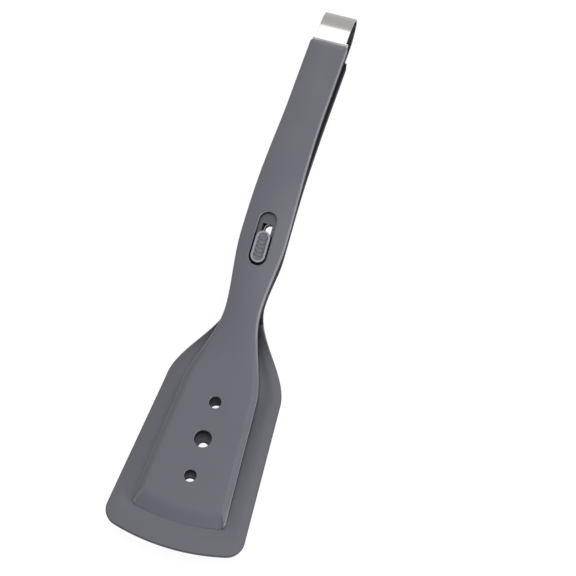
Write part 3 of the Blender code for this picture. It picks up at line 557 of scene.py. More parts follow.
def seat(thing: bpy.types.Object, profile: SideProfile, station: float, height: float = 0.0) -> None:
    """Seat a piece modelled about its own origin at a station of an arm, unbent."""
    spot = profile.place(Vector((0.0, station, height)))
    thing.data.transform(Matrix.Translation(spot) @ Matrix.Rotation(profile.heading(station), 4, "X"))


def shade(thing: bpy.types.Object) -> None:
    """Shade a piece smooth between its sharp edges, with broad faces kept flat."""
    only(thing)
    bpy.ops.object.shade_smooth_by_angle(angle=FITS.form_angle)
    bpy.ops.object.modifier_add(type="WEIGHTED_NORMAL")
    thing.modifiers[-1].keep_sharp = True
    bpy.ops.object.modifier_apply(modifier=thing.modifiers[-1].name)


@dataclass(frozen=True)
class Drain:
    """The three drain holes of a blade."""

    stations: tuple[float, ...]
    radii: tuple[float, ...]
    lip: float = 0.35 * MM
    sleeve: float = 1.5 * MM
    sides: int = 48


@dataclass(frozen=True)
class Arm:
    """What the moulding, the insert and the fasteners of one arm share."""

    key: str
    body: Body
    profile: SideProfile
    plan: PlanOutline
    inward: int
    blade_depth: float
    drain: Drain
    handle_depth: float = 7.0 * MM
    end_wall: float = 2.0 * MM
    core_flush: float = 0.3 * MM
    edge: float = 2.4 * MM
    crown: float = 0.6 * MM
    late_crown: bool = False

    def depth(self, station: float) -> float:
        """Thickness of the arm at a station."""
        return mix(self.blade_depth, self.handle_depth, self.plan.handle_share(station))

    def swell(self, across: float, station: float) -> float:
        """Crown of the handle's outer face over its edge line.

        Args:
            across: Place across the arm.
            station: Place along it.

        Returns:
            Height over the flat outer face.
        """
        share = self.plan.handle_share(station)
        if self.late_crown:
            share = smooth_share(2 * share - 1)
        half = self.plan.half_width(station) - self.edge
        return self.crown * share * max(0.0, 1 - (across / half) ** 2)

    def rivets(self) -> list[float]:
        """Stations of the two band rivets, the rear one first."""
        first = self.profile.length - self.end_wall - BAND.rivet_inset
        return [first - BAND.rivet_pitch * step for step in range(2)]


@dataclass(frozen=True)
class BandSizes:
    """Sizes of the steel band and its fixing."""

    root_width: float = 21.8 * MM
    width: float = 19.0 * MM
    thickness: float = 1.0 * MM
    depth_in_arm: float = 3.2 * MM
    joggle: float = 0.9 * MM
    leg: float = 12.0 * MM
    bow_run: float = 15.9 * MM
    tongue_width: float = 14.0 * MM
    tongue_length: float = 44.0 * MM
    edge_round: float = 0.2 * MM
    bow_steps: int = 44
    rivet_inset: float = 12.0 * MM
    rivet_pitch: float = 20.0 * MM


@dataclass(frozen=True)
class LockSizes:
    """Sizes of the thumb lock: slot, slide, window, foot and keyhole plate."""

    slot_length: float = 31.2 * MM
    slot_width: float = 10.2 * MM
    slot_depth: float = 3.4 * MM
    slot_lip: float = 0.6 * MM
    slide_length: float = 18.5 * MM
    slide_width: float = 8.3 * MM
    rest_inset: float = 1.6 * MM
    travel: float = 10.5 * MM
    stem_width: float = 5.0 * MM
    stem_length: float = 6.0 * MM
    stem_gap: float = 0.6 * MM
    window_width: float = 5.8 * MM
    guide_width: float = 11.0 * MM
    guide_length: float = 12.0 * MM
    floor: float = 2.4 * MM
    foot_width: float = 10.0 * MM
    foot_room: float = 0.8 * MM
    exit_room: float = 2.0 * MM
    catch_length: float = 34.0 * MM
    catch_width: float = 16.0 * MM
    catch_thickness: float = 1.2 * MM
    catch_sink: float = 0.2 * MM
    catch_slot_gap: float = 0.5 * MM
    catch_screw_inset: float = 3.4 * MM
    sight_width: float = 6.2 * MM
    sight_lip: float = 0.4 * MM


BAND = BandSizes()
LOCK = LockSizes()


@dataclass(frozen=True)
class ProfileSizes:
    """Runs, radii and angles of an arm's side profile."""

    start: Pair
    blade_angle: float
    blade_run: float
    heel_radius: float
    ramp_angle: float
    ramp_run: float
    crown_radius: float
    grip_run: float
    grip_angle: float
    sway_radius: float = 160.0 * MM
    lock_angle: float = 20.5 * DEG
    lock_run: float = 38.0 * MM

    def profile(self) -> SideProfile:
        """The side profile of these sizes."""
        runs = [
            (self.blade_run, 0.0),
            arc(self.heel_radius, self.ramp_angle - self.blade_angle),
            (self.ramp_run, 0.0),
            arc(self.sway_radius, self.lock_angle - self.ramp_angle),
            (self.lock_run, 0.0),
            arc(self.crown_radius, self.grip_angle - self.lock_angle),
            (self.grip_run, 0.0),
        ]
        return SideProfile(self.start, self.blade_angle, runs)


def upper_arm() -> Arm:
    """The narrower arm that the thumb slide sits in."""
    sizes = ProfileSizes(
        (14.6 * MM, 6.2 * MM), 5.5 * DEG, 60.7 * MM, 135 * MM, 27.5 * DEG, 14 * MM, 131 * MM, 68 * MM, 0.5 * DEG
    )
    profile = sizes.profile()
    plan = PlanOutline(
        tip_width=54.0 * MM,
        tip_radius=105.0 * MM,
        corner_radius=3.5 * MM,
        shoulder_width=44.4 * MM,
        shoulder_station=72.4 * MM,
        neck_width=20.0 * MM,
        neck_station=123.4 * MM,
        palm_width=26.8 * MM,
        length=profile.length,
    )
    drain = Drain((25.8 * MM, 47.6 * MM, 69.4 * MM), (3.45 * MM, 4.95 * MM, 3.45 * MM))
    return Arm("upper", Body.UPPER, profile, plan, -1, 4.0 * MM, drain, edge=1.4 * MM)


def lower_arm(upper: Arm) -> Arm:
    """The wider arm; its drain holes lie nearly under those of the upper one."""
    sizes = ProfileSizes(
        (0.0, 0.0), 0.0, 89.0 * MM, 100 * MM, 26.0 * DEG, 9 * MM, 102 * MM, 76.7 * MM, 0.0
    )
    profile = sizes.profile()
    plan = PlanOutline(
        tip_width=80.6 * MM,
        tip_radius=125.0 * MM,
        corner_radius=10.0 * MM,
        shoulder_width=67.6 * MM,
        shoulder_station=96.0 * MM,
        neck_width=18.9 * MM,
        neck_station=149.0 * MM,
        palm_width=24.6 * MM,
        length=profile.length,
        least_corner=4.0 * MM,
    )
    below = upper.profile.place(Vector((0.0, upper.drain.stations[1], -upper.blade_depth)))
    middle = profile.locate(below)[0] - 1.5 * MM
    pitch = 22.8 * MM
    drain = Drain((middle - pitch, middle, middle + pitch), (3.45 * MM, 2.75 * MM, 3.45 * MM))
    return Arm("lower", Body.LOWER, profile, plan, 1, 3.0 * MM, drain, late_crown=True)


UPPER = upper_arm()
LOWER = lower_arm(UPPER)


class LockPlaces:
    """Stations and heights of the lock's parts, which follow from both arms."""

    def __init__(self) -> None:
        """Work the places out."""
        flat = UPPER.profile.legs[4]
        middle = flat.begin + flat.length / 2
        self.slot = (middle - LOCK.slot_length / 2, middle + LOCK.slot_length / 2)
        self.slide = self.slot[0] + LOCK.rest_inset + LOCK.slide_length / 2
        self.slide_end = self.slide + (LOCK.slide_length - LOCK.slide_width / 2) / 2
        spot = UPPER.profile.place(Vector((0.0, self.slide, 0.0)))
        self.catch = LOWER.profile.locate(spot)[0]
        self.catch_top = LOWER.handle_depth - LOWER.core_flush - LOCK.catch_sink
        half_stem = LOCK.stem_length / 2
        self.room = (
            self.catch - half_stem - LOCK.foot_room,
            self.catch + LOCK.travel + half_stem + LOCK.exit_room,
        )
        centre = sum(self.room) / 2
        self.plate = (centre - LOCK.catch_length / 2, centre + LOCK.catch_length / 2)
        inset = LOCK.catch_screw_inset
        self.screws = (self.plate[0] + inset, self.plate[1] - inset)

    def around(self, length: float) -> Pair:
        """Span that a part of the slide of some length sweeps, with its gap."""
        reach = length / 2 + LOCK.stem_gap
        return self.slide - reach, self.slide + LOCK.travel + reach


PLACES = LockPlaces()


def opening(
    name: str,
    outline: Callable[[float], Loop],
    arm: Arm,
    lip: float,
    floor: float | None = None,
) -> bpy.types.Object:
    """Cutter of an opening with rounded lips, from the outer face inwards.

    Args:
        name: Name of the cutter.
        outline: Outline of the opening, grown by a length.
        arm: The flat arm that is cut.
        lip: Radius of the rounded lips.
        floor: Depth at which it ends; without one it goes through, with a lip on the inner face too.

    Returns:
        The cutter.
    """
    loops = []
    turns = [75 * DEG * share for share in even_shares(6)]
    widest = lip * (1 - math.cos(turns[-1]))
    if floor is None:
        depth = arm.blade_depth - (0.5 * MM if arm.inward > 0 else 0.0)
        loops.append(at_height(outline(widest), lambda spot: (depth + FITS.overrun) * arm.inward))
        for turn in reversed(turns):
            level = depth - lip + lip * math.sin(turn)
            loops.append(at_height(outline(lip * (1 - math.cos(turn))), lambda spot: level * arm.inward))
    else:
        loops.append(at_height(outline(0.0), lambda spot: floor * arm.inward))
    for turn in turns:
        sink = lip - lip * math.sin(turn)
        grown = outline(lip * (1 - math.cos(turn)))
        loops.append(at_height(grown, lambda spot: (sink - arm.swell(spot.x, spot.y)) * arm.inward))
    loops.append(at_height(outline(widest), lambda spot: -(arm.crown + FITS.overrun) * arm.inward))
    return solid(name, loops)


def at_height(loop: Loop, height: Callable[[Vector], float]) -> Loop:
    """Lift a loop's points each to its own height."""
    return [Vector((spot.x, spot.y, height(spot))) for spot in loop]


def grown_slot(width: float, span: Pair, sides: int = 20) -> Callable[[float], Loop]:
    """A stadium outline that can be grown."""
    begin, end = span
    return lambda grow: stadium(width + 2 * grow, begin - grow, end + grow, 0.0, sides)


def grown_ring(radius: float, station: float, sides: int) -> Callable[[float], Loop]:
    """A round outline that can be grown."""
    return lambda grow: ring(radius + grow, 0.0, sides, station)


def block(name: str, width: float, span: Pair, low: float, high: float) -> bpy.types.Object:
    """Square-cornered cutter between two heights."""
    return solid(name, [box_loop(width, *span, low), box_loop(width, *span, high)])


def band_pocket(arm: Arm) -> bpy.types.Object:
    """Cutter for the pocket of the band's tongue."""
    half = BAND.thickness / 2 + FITS.clearance
    middle = BAND.depth_in_arm * arm.inward
    begin = arm.profile.length - arm.end_wall - BAND.tongue_length - FITS.clearance
    span = (begin, arm.profile.length + FITS.overrun)
    return block("pocket", BAND.tongue_width + 2 * FITS.clearance, span, middle - half, middle + half)


class Moulding:
    """Grey outer moulding of one arm: blade, shoulder and handle in one piece."""

    upright = 0.5
    level_edge = 0.97
    edge_blend = 0.3

    def __init__(self, name: str, arm: Arm, insert: "Insert") -> None:
        """Keep what the moulding is made round.

        Args:
            name: Name of the piece.
            arm: The arm it belongs to.
            insert: The stiff insert that it covers.
        """
        self.name = name
        self.arm = arm
        self.insert = insert

    def loop(self, draw: Draw, height: Callable[[float, float], float]) -> Loop:
        """One loop of the moulding.

        Args:
            draw: How far the loop lies inside the outline.
            height: Depth under the outer face for a station and a tip share.

        Returns:
            The loop's points.
        """
        plan = self.arm.plan
        corner = plan.tip_steps + plan.corner_steps
        spots = []
        for index, (across, station) in enumerate(plan.right_side(draw)):
            tip = 1 - smooth_share((index - plan.tip_steps) / plan.corner_steps)
            if index > corner:
                tip = 0.0
            spots.append(Vector((across, station, height(station, tip) * self.arm.inward)))
        return mirrored(spots)

    def rounded(self, share: float, least: float, handle: float, end: float) -> Draw:
        """Inset of a rounded edge whose radius differs on the blade and the handle."""
        inset = 1 - math.sin(math.pi / 2 * share)

        def side(station: float) -> float:
            """Inset of the long sides."""
            return inset * mix(least, handle, self.arm.plan.handle_share(station))

        return Draw(side, least * inset, end * inset)

    def inner_loops(self) -> list[Loop]:
        """Loops of the inner side, from the broad face to the wall."""
        raise NotImplementedError

    def outer_loops(self) -> list[Loop]:
        """Loops of the outer side, from the wall to the broad face."""
        raise NotImplementedError

    def tip_scores(self) -> list[float]:
        """Stations in front of the shared ones at which the broad faces bend."""
        return []

    def openings(self) -> list[bpy.types.Object]:
        """Cutters of the openings that this arm has of its own."""
        raise NotImplementedError

    def build(self) -> bpy.types.Object:
        """Model the flat moulding, cut its openings and form it."""
        arm = self.arm
        thing = solid(self.name, self.inner_loops() + self.outer_loops())
        places = [step * FITS.crown_step for step in range(-3, 4)]
        score(thing, self.tip_scores() + arm.plan.stations()[:-1], places, arm.plan.shoulder_station)
        for vertex in thing.data.vertices:
            spot = vertex.co
            if spot.y > arm.plan.shoulder_station and abs(spot.z) < FITS.weld:
                spot.z -= arm.swell(spot.x, spot.y) * arm.inward
        drain = arm.drain
        cutters = [self.insert.blank("channel", FITS.clearance)]
        for station, radius in zip(drain.stations, drain.radii):
            outline = grown_ring(radius, station, drain.sides)
            cutters.append(opening("drain", outline, arm, drain.lip))
        cutters += self.openings() + [band_pocket(arm)]
        change(thing, cutters)
        # Marked faces take the dark nylon finish as painted shade, and the edge mark paints highlights and shade.
        for face in thing.data.polygons:
            if self.in_painted_shade(face):
                face.material_index = 1
        self.mark_painted_light(thing)
        form(thing, arm.profile)
        shade(thing)
        return thing

    def in_painted_shade(self, face: bpy.types.MeshPolygon) -> bool:
        """Whether a face is in a drain hole's wall, which takes the dark nylon finish as painted shade."""
        drain = self.arm.drain
        spot = face.center
        deep = drain.lip < abs(spot.z) < self.arm.blade_depth - drain.lip
        if not deep or abs(face.normal.z) > self.upright:
            return False
        return any(
            math.hypot(spot.x, spot.y - station) < radius + FITS.clearance
            for station, radius in zip(drain.stations, drain.radii)
        )

    def at_hole(self, spot: Vector) -> bool:
        """True at a drain hole's wall or lip."""
        drain = self.arm.drain
        return any(
            math.hypot(spot.x, spot.y - station) < radius + 2 * drain.lip
            for station, radius in zip(drain.stations, drain.radii)
        )

    def at_slot(self, spot: Vector) -> bool:
        """True at the rim of the lock's slot."""
        reach = 2 * LOCK.slot_lip
        beside = abs(spot.x) < LOCK.slot_width / 2 + reach
        return beside and PLACES.slot[0] - reach < spot.y < PLACES.slot[1] + reach

    def mark_painted_light(self, thing: bpy.types.Object) -> None:
        """Paint light and shade on the edges: 1 where a highlight is painted, -1 where shade is painted."""
        mark = thing.data.attributes.new(PAINTED_LIGHT, "FLOAT", "POINT")
        level = [face for face in thing.data.polygons if abs(face.normal.z) > self.level_edge]
        broad = {index for face in level for index in face.vertices}
        for vertex, value in zip(thing.data.vertices, mark.data):
            steep = smooth_share((self.level_edge - abs(vertex.normal.z)) / self.edge_blend)
            # Drain hole lips take a painted highlight; the rest of a hole's rim takes none.
            if self.at_hole(vertex.co):
                on_lip = vertex.index not in broad and abs(vertex.co.z) < self.arm.drain.lip
                value.value = steep if on_lip else 0.0
            elif vertex.index not in broad or not self.at_slot(vertex.co):
                value.value = self.painted_light_and_shade(vertex.co, steep)

    def painted_light_and_shade(self, spot: Vector, steep: float) -> float:
        """Painted light and shade on the flat moulding's edges and walls.

        Args:
            spot: Place on the flat moulding.
            steep: 0 on a broad face and 1 on an edge or a wall.

        Returns:
            Between 1, a painted highlight, and -1, painted shade.
        """
        raise NotImplementedError


@dataclass
class UpperMoulding(Moulding):
    """Upper moulding: a bevelled plateau on the blade, the lock slot and a flat inner face."""

    name: str
    arm: Arm
    insert: "Insert"
    bevel_width: float = 4.2 * MM
    bevel_drop: float = 1.25 * MM
    tip_bevel: float = 10.0 * MM
    tip_drop: float = 3.55 * MM
    tip_loss: float = 0.15 * MM
    tip_run: float = 15.0 * MM
    tip_spread: float = 0.7
    tip_fade: float = 22.0 * MM
    # Shares of the wall's depth that stay grey above the painted shade, on the blade and the handle.
    blade_grey_share: float = 0.12
    handle_grey_share: float = 0.3
    grey_share_limit: float = 0.97
    # Width of the painted highlight line at the blade's outermost side edge.
    edge_band: float = 0.06 * MM
    steps: int = 8

    def inner_loops(self) -> list[Loop]:
        """Loops of the inner face's slightly broken edge."""
        loops = []
        for share in even_shares(2):
            rise = FITS.break_edge * (1 - math.cos(math.pi / 2 * share))
            draw = self.rounded(share, FITS.break_edge, FITS.break_edge, FITS.break_edge)
            loops.append(self.loop(draw, lambda station, _: self.inner_depth(station) - rise))
        return loops

    def inner_depth(self, station: float) -> float:
        """Depth of the inner face, less towards the thin tip."""
        thin = smooth_share(1 - station / self.tip_run)
        return self.arm.depth(station) - self.tip_loss * thin

    def outer_loops(self) -> list[Loop]:
        """Loops of the bevel, which turns into the handle's round edge."""
        # The first loop lies where the painted shade begins on the wall.
        loops = [self.loop(Draw(lambda _: 0.0, 0.0, 0.0), self.painted_shade_depth)]
        for share in reversed(even_shares(self.steps)):
            angle = math.pi / 2 * share
            inset = 1 - math.sin(angle)
            fall = 1 - math.cos(angle)
            flat = 1 - share

            def side(station: float) -> float:
                """Inset of the long sides."""
                on_handle = self.arm.plan.handle_share(station)
                width = mix(self.bevel_width, self.arm.edge, on_handle)
                return width * mix(flat, inset, on_handle)

            def height(station: float, tip: float) -> float:
                """Drop of the bevel."""
                blade = mix(share**2, eased_bevel(share), tip)
                return self.full_drop(station, tip) * mix(blade, fall, self.arm.plan.handle_share(station))

            loops.append(self.loop(Draw(side, self.tip_bevel * flat, self.arm.edge / 4 * inset), height))
        return loops

    def tip_scores(self) -> list[float]:
        """Stations at which the inner face thins towards the tip."""
        return [self.tip_run * share for share in even_shares(7)[1:]]

    def in_painted_shade(self, face: bpy.types.MeshPolygon) -> bool:
        """The lock slot's walls and the lower part of the outer walls take the dark nylon as painted shade too."""
        spot = face.center
        if abs(face.normal.z) > self.upright:
            return False
        if PLACES.slot[0] < spot.y < PLACES.slot[1] and abs(spot.x) < LOCK.slot_width / 2 + FITS.clearance:
            return spot.z < -LOCK.slot_lip
        return -spot.z > self.painted_shade_depth(spot.y, 0.0) + FITS.break_edge or super().in_painted_shade(face)

    def painted_light_and_shade(self, spot: Vector, steep: float) -> float:
        """A highlight is painted on the handle's sides and walls, the slot's rim and a thin line along the blade's
        outermost side edges.
        """
        on_handle = self.arm.plan.handle_share(spot.y)
        outermost = abs(spot.x) > self.arm.plan.half_width(spot.y) - self.edge_band
        # crisp: a thin painted highlight line along the blade's outermost side edge.
        crisp = outermost and -spot.z < self.full_drop(spot.y, 0.0) + self.edge_band
        return mix(float(crisp), steep, on_handle)

    def full_drop(self, station: float, tip: float) -> float:
        """Drop of the bevel or round edge from the broad face to the wall."""
        on_handle = self.arm.plan.handle_share(station)
        near_tip = self.tip_spread * smooth_share(1 - station / self.tip_fade)
        return mix(mix(self.bevel_drop, self.arm.edge, on_handle), self.tip_drop, max(tip, near_tip))

    def painted_shade_depth(self, station: float, tip: float) -> float:
        """Depth on the wall at which the grey ends and the painted shade in the dark nylon finish begins."""
        share = mix(mix(self.blade_grey_share, self.handle_grey_share, self.arm.plan.handle_share(station)), 1.0, tip)
        top = self.full_drop(station, tip)
        return mix(top, max(top, self.inner_depth(station) - FITS.break_edge), share * self.grey_share_limit)

    def openings(self) -> list[bpy.types.Object]:
        """The lock slot, down to the insert."""
        outline = grown_slot(LOCK.slot_width, PLACES.slot)
        return [opening("slot", outline, self.arm, LOCK.slot_lip, LOCK.slot_depth)]


@dataclass
class LowerMoulding(Moulding):
    """Lower moulding: a shallow dish inside a rim on the blade, and a sight slot under the lock."""

    name: str
    arm: Arm
    insert: "Insert"
    edge: float = 0.9 * MM
    inner_edge: float = 0.8 * MM
    rim: float = 4.5 * MM
    tip_rim: float = 8.0 * MM
    slope: float = 7.5 * MM
    dish: float = 0.45 * MM
    end_rim: float = 0.5 * MM
    steps: int = 6
    # dark_share: handle share from which the walls take the dark nylon as painted shade; dark_span: where the edge
    # mark fades in painted shade.
    dark_share: float = 0.93
    dark_span: tuple[float, float] = (0.25, 0.85)
    dish_shares: tuple[float, ...] = (1.0, 0.85, 0.65, 0.5, 0.35, 0.15, 0.0)

    def inner_loops(self) -> list[Loop]:
        """Loops of the dish, its rim and the inner edge."""
        loops = []
        for across in self.dish_shares:
            down = smooth_share(across)

            def side(station: float) -> float:
                """Inset of the long sides."""
                half = self.arm.plan.half_width(station)
                return min(self.rim, half * 0.4) + min(self.slope, half * 0.2) * across

            def height(station: float, _: float) -> float:
                """Depth of the dish's slope."""
                return self.arm.depth(station) - self.dish * down * (1 - self.arm.plan.handle_share(station))

            draw = Draw(side, self.tip_rim + self.slope * across, self.end_rim * (1 + across / 5))
            loops.append(self.loop(draw, height))
        for share in even_shares(3):
            rise = self.inner_edge * (1 - math.cos(math.pi / 2 * share))
            draw = self.rounded(share, self.inner_edge, self.inner_edge, self.inner_edge)
            loops.append(self.loop(draw, lambda station, _: self.arm.depth(station) - rise))
        return loops

    def outer_loops(self) -> list[Loop]:
        """Loops of the rounded outer edge."""
        loops = []
        for share in reversed(even_shares(self.steps)):
            fall = 1 - math.cos(math.pi / 2 * share)

            def height(station: float, _: float) -> float:
                """Drop of the round edge."""
                return mix(self.edge, self.arm.edge, self.arm.plan.handle_share(station)) * fall

            loops.append(self.loop(self.rounded(share, self.edge, self.arm.edge, self.edge), height))
        return loops

    def in_painted_shade(self, face: bpy.types.MeshPolygon) -> bool:
        """The inner part of the handle's walls takes the dark nylon as painted shade too, up to the round grey
        back.
        """
        if self.arm.plan.handle_share(face.center.y) > self.dark_share:
            return face.center.z > self.arm.edge
        return super().in_painted_shade(face)

    def painted_light_and_shade(self, spot: Vector, steep: float) -> float:
        """Shade is painted on the blade's rim and on the handle's inner part from the shoulder on."""
        begin, end = self.dark_span
        on_handle = smooth_share((self.arm.plan.handle_share(spot.y) - begin) / (end - begin))
        inner = smooth_share(2 * spot.z / self.arm.edge - 1)
        return -max(steep * (1 - on_handle), on_handle * inner)

    def openings(self) -> list[bpy.types.Object]:
        """The sight slot under the lock."""
        outline = grown_slot(LOCK.sight_width, PLACES.room)
        return [opening("sight", outline, self.arm, LOCK.sight_lip, 1.2 * MM + FITS.overrun)]


@dataclass
class Insert:
    """Dark stiff insert of an arm: a bar in the handle that thins to a tongue inside the blade."""

    name: str
    arm: Arm
    begin: float
    blade_middle: float
    margin: float = 9.0 * MM
    tongue: float = 1.3 * MM
    tip_round: float = 6.0 * MM
    side_wall: float = 1.6 * MM
    outer_wall: float = 1.2 * MM
    chamfer: float = 0.6 * MM
    swell_share: float = 0.375
    tip_shares: tuple[float, ...] = (0.04, 0.12, 0.25, 0.45, 0.7, 1.0)

    def half_width(self, station: float) -> float:
        """Half width at a station, with rounded corners at the tongue's tip."""
        share = self.arm.plan.handle_share(station)
        half = self.arm.plan.half_width(station) - mix(self.margin, self.side_wall, share)
        behind = self.tip_round - min(station - self.begin, self.tip_round)
        return half - self.tip_round + math.sqrt(max(0.0, self.tip_round**2 - behind**2))

    def section(self, station: float, grow: float) -> Loop:
        """One section across the insert.

        Args:
            station: Place along the arm.
            grow: Growth all round, which makes the cutter of its channel.

        Returns:
            The section's points.
        """
        share = self.arm.plan.handle_share(station)
        near = mix(self.blade_middle - self.tongue / 2, self.outer_wall + FITS.clearance, share) - grow
        bar = self.arm.handle_depth - self.arm.core_flush
        if grow:
            bar = self.arm.handle_depth + FITS.overrun
        late = smooth_share((share - self.swell_share) / (1 - self.swell_share))
        far = mix(self.blade_middle + self.tongue / 2, bar, late) + grow
        half = self.half_width(max(station, self.begin)) - FITS.clearance + grow
        bevel = min(self.chamfer, (far - near) / 4)
        profile = [(0.0, near), (half - bevel, near), (half, near + bevel)]
        profile += [(half, far - bevel), (half - bevel, far), (0.0, far)]
        return mirrored([Vector((across, station, depth * self.arm.inward)) for across, depth in profile])

    def blank(self, name: str, grow: float) -> bpy.types.Object:
        """The flat insert, or its channel's cutter, with round holes for the moulding's posts."""
        end = self.arm.profile.length - self.arm.end_wall - FITS.clearance + grow
        start = self.begin - grow
        stations = [start] + [self.begin + self.tip_round * share for share in self.tip_shares]
        run = end - stations[-1]
        count = round(run / FITS.station_step)
        stations += [stations[-1] + run * share for share in even_shares(count)[1:]]
        thing = solid(name, [self.section(station, grow) for station in stations])
        reach = self.arm.handle_depth + FITS.overrun
        drain = self.arm.drain
        posts = []
        for station, radius in zip(drain.stations, drain.radii):
            wide = radius + drain.sleeve - grow
            posts.append(lathe("post", [(wide, -reach), (wide, reach)], drain.sides, station))
        change(thing, posts)
        return thing

    def cutters(self) -> list[bpy.types.Object]:
        """Cutters of the openings that this insert has of its own."""
        depth = self.arm.handle_depth
        if self.arm.inward < 0:
            window = PLACES.around(LOCK.stem_length)
            guide = PLACES.around(LOCK.guide_length)
            below = -LOCK.slot_depth - LOCK.floor
            wide = LOCK.guide_width + 2 * FITS.clearance
            recess = opening(
                "slot", grown_slot(LOCK.slot_width, PLACES.slot), self.arm, FITS.clearance, LOCK.slot_depth
            )
            for station in (window[1], PLACES.slide_end):
                cut_across(recess, station)
            return [
                recess,
                block("window", LOCK.window_width, window, -depth - FITS.overrun, 0.0),
                block("guide", wide, guide, -depth - FITS.overrun, below),
            ]
        seat_floor = PLACES.catch_top - LOCK.catch_thickness - FITS.clearance
        span = (PLACES.plate[0] - FITS.clearance, PLACES.plate[1] + FITS.clearance)
        made = [
            block("seat", LOCK.catch_width + 2 * FITS.clearance, span, seat_floor, depth + FITS.overrun),
            block("room", LOCK.foot_width + 2 * LOCK.foot_room, PLACES.room, 0.0, depth + FITS.overrun),
        ]
        return made + [CatchScrew("seat", station).cutter() for station in PLACES.screws]

    def build(self) -> bpy.types.Object:
        """Model the flat insert, cut its openings and form it."""
        thing = self.blank(self.name, 0.0)
        tools = self.cutters() + [band_pocket(self.arm)]
        tools += [Rivet("seat", self.arm, station).cutter() for station in self.arm.rivets()]
        change(thing, tools)
        self.face_recess(thing)
        form(thing, self.arm.profile)
        shade(thing)
        return thing

    def face_recess(self, thing: bpy.types.Object) -> None:
        """Face the slot's floor behind the window in the second finish, the moulding's own grey."""
        if self.arm.inward > 0:
            return
        for face in thing.data.polygons:
            at_floor = abs(face.center.z + LOCK.slot_depth) < FITS.weld and face.normal.z > FITS.level
            if at_floor and face.center.y > PLACES.slide_end:
                face.material_index = 1


@dataclass
class Rivet:
    """Countersunk rivet through an insert and the band's tongue."""

    name: str
    arm: Arm
    station: float
    head: float = 3.2 * MM
    head_depth: float = 1.3 * MM
    shank: float = 1.9 * MM
    reach: float = 4.4 * MM
    edge: float = 0.2 * MM
    dimple: float = 1.3 * MM
    dimple_depth: float = 0.25 * MM
    sides: int = 40

    def set_in(self, thing: bpy.types.Object) -> None:
        """Stand the rivet upright on the inner face of the flat insert."""
        turn = Matrix.Rotation(math.pi if self.arm.inward < 0 else 0.0, 4, "X")
        height = (self.arm.handle_depth - self.arm.core_flush) * self.arm.inward
        thing.data.transform(Matrix.Translation((0.0, self.station, height)) @ turn)

    def cutter(self) -> bpy.types.Object:
        """Cutter of its seat."""
        grow = FITS.clearance
        profile = [
            (self.head + grow, FITS.overrun),
            (self.head + grow, -grow),
            (self.shank + grow, -self.head_depth - grow),
            (self.shank + grow, -self.reach - grow),
        ]
        thing = lathe(self.name, profile, self.sides)
        self.set_in(thing)
        return thing

    def build(self) -> bpy.types.Object:
        """Turn the rivet, with a broken edge and a dimple in its head."""
        profile = [
            (self.dimple - self.dimple_depth, -self.dimple_depth),
            (self.dimple, 0.0),
            (self.head - self.edge, 0.0),
            (self.head, -self.edge),
            (self.shank, -self.head_depth),
            (self.shank, self.edge - self.reach),
            (self.shank - self.edge, -self.reach),
        ]
        thing = lathe(self.name, profile, self.sides)
        self.set_in(thing)
        form(thing, self.arm.profile)
        shade(thing)
        return thing


@dataclass
class CatchScrew:
    """Countersunk cross-head screw of the keyhole plate."""

    name: str
    station: float
    head: float = 2.1 * MM
    shank: float = 1.1 * MM
    cone: float = 0.8 * MM
    length: float = 3.2 * MM
    edge: float = 0.12 * MM
    recess_width: float = 0.55 * MM
    recess_length: float = 2.2 * MM
    recess_depth: float = 0.7 * MM
    sides: int = 36

    def cutter(self) -> bpy.types.Object:
        """Cutter of its seat."""
        grow = FITS.clearance
        profile = [
            (self.head + grow, FITS.overrun),
            (self.head + grow, -grow),
            (self.shank + grow, -self.cone - grow),
            (self.shank + grow, -self.length - grow),
        ]
        thing = lathe(self.name, profile, self.sides)
        thing.data.transform(Matrix.Translation((0.0, self.station, PLACES.catch_top)))
        return thing

    def build(self) -> bpy.types.Object:
        """Turn the screw and cut its cross recess."""
        profile = [
            (self.head - self.edge, 0.0),
            (self.head, -self.edge),
            (self.shank, -self.cone),
            (self.shank, self.edge - self.length),
            (self.shank - self.edge, -self.length),
        ]
        thing = lathe(self.name, profile, self.sides)
        long, slim = self.recess_length, self.recess_width / 2
        cross = [
            block("recess", long, (-slim, slim), -self.recess_depth, FITS.overrun),
            block("recess", 2 * slim, (-long / 2, long / 2), -self.recess_depth, FITS.overrun),
        ]
        change(thing, cross)
        thing.data.transform(Matrix.Translation((0.0, self.station, PLACES.catch_top)))
        form(thing, LOWER.profile)
        shade(thing)
        return thing


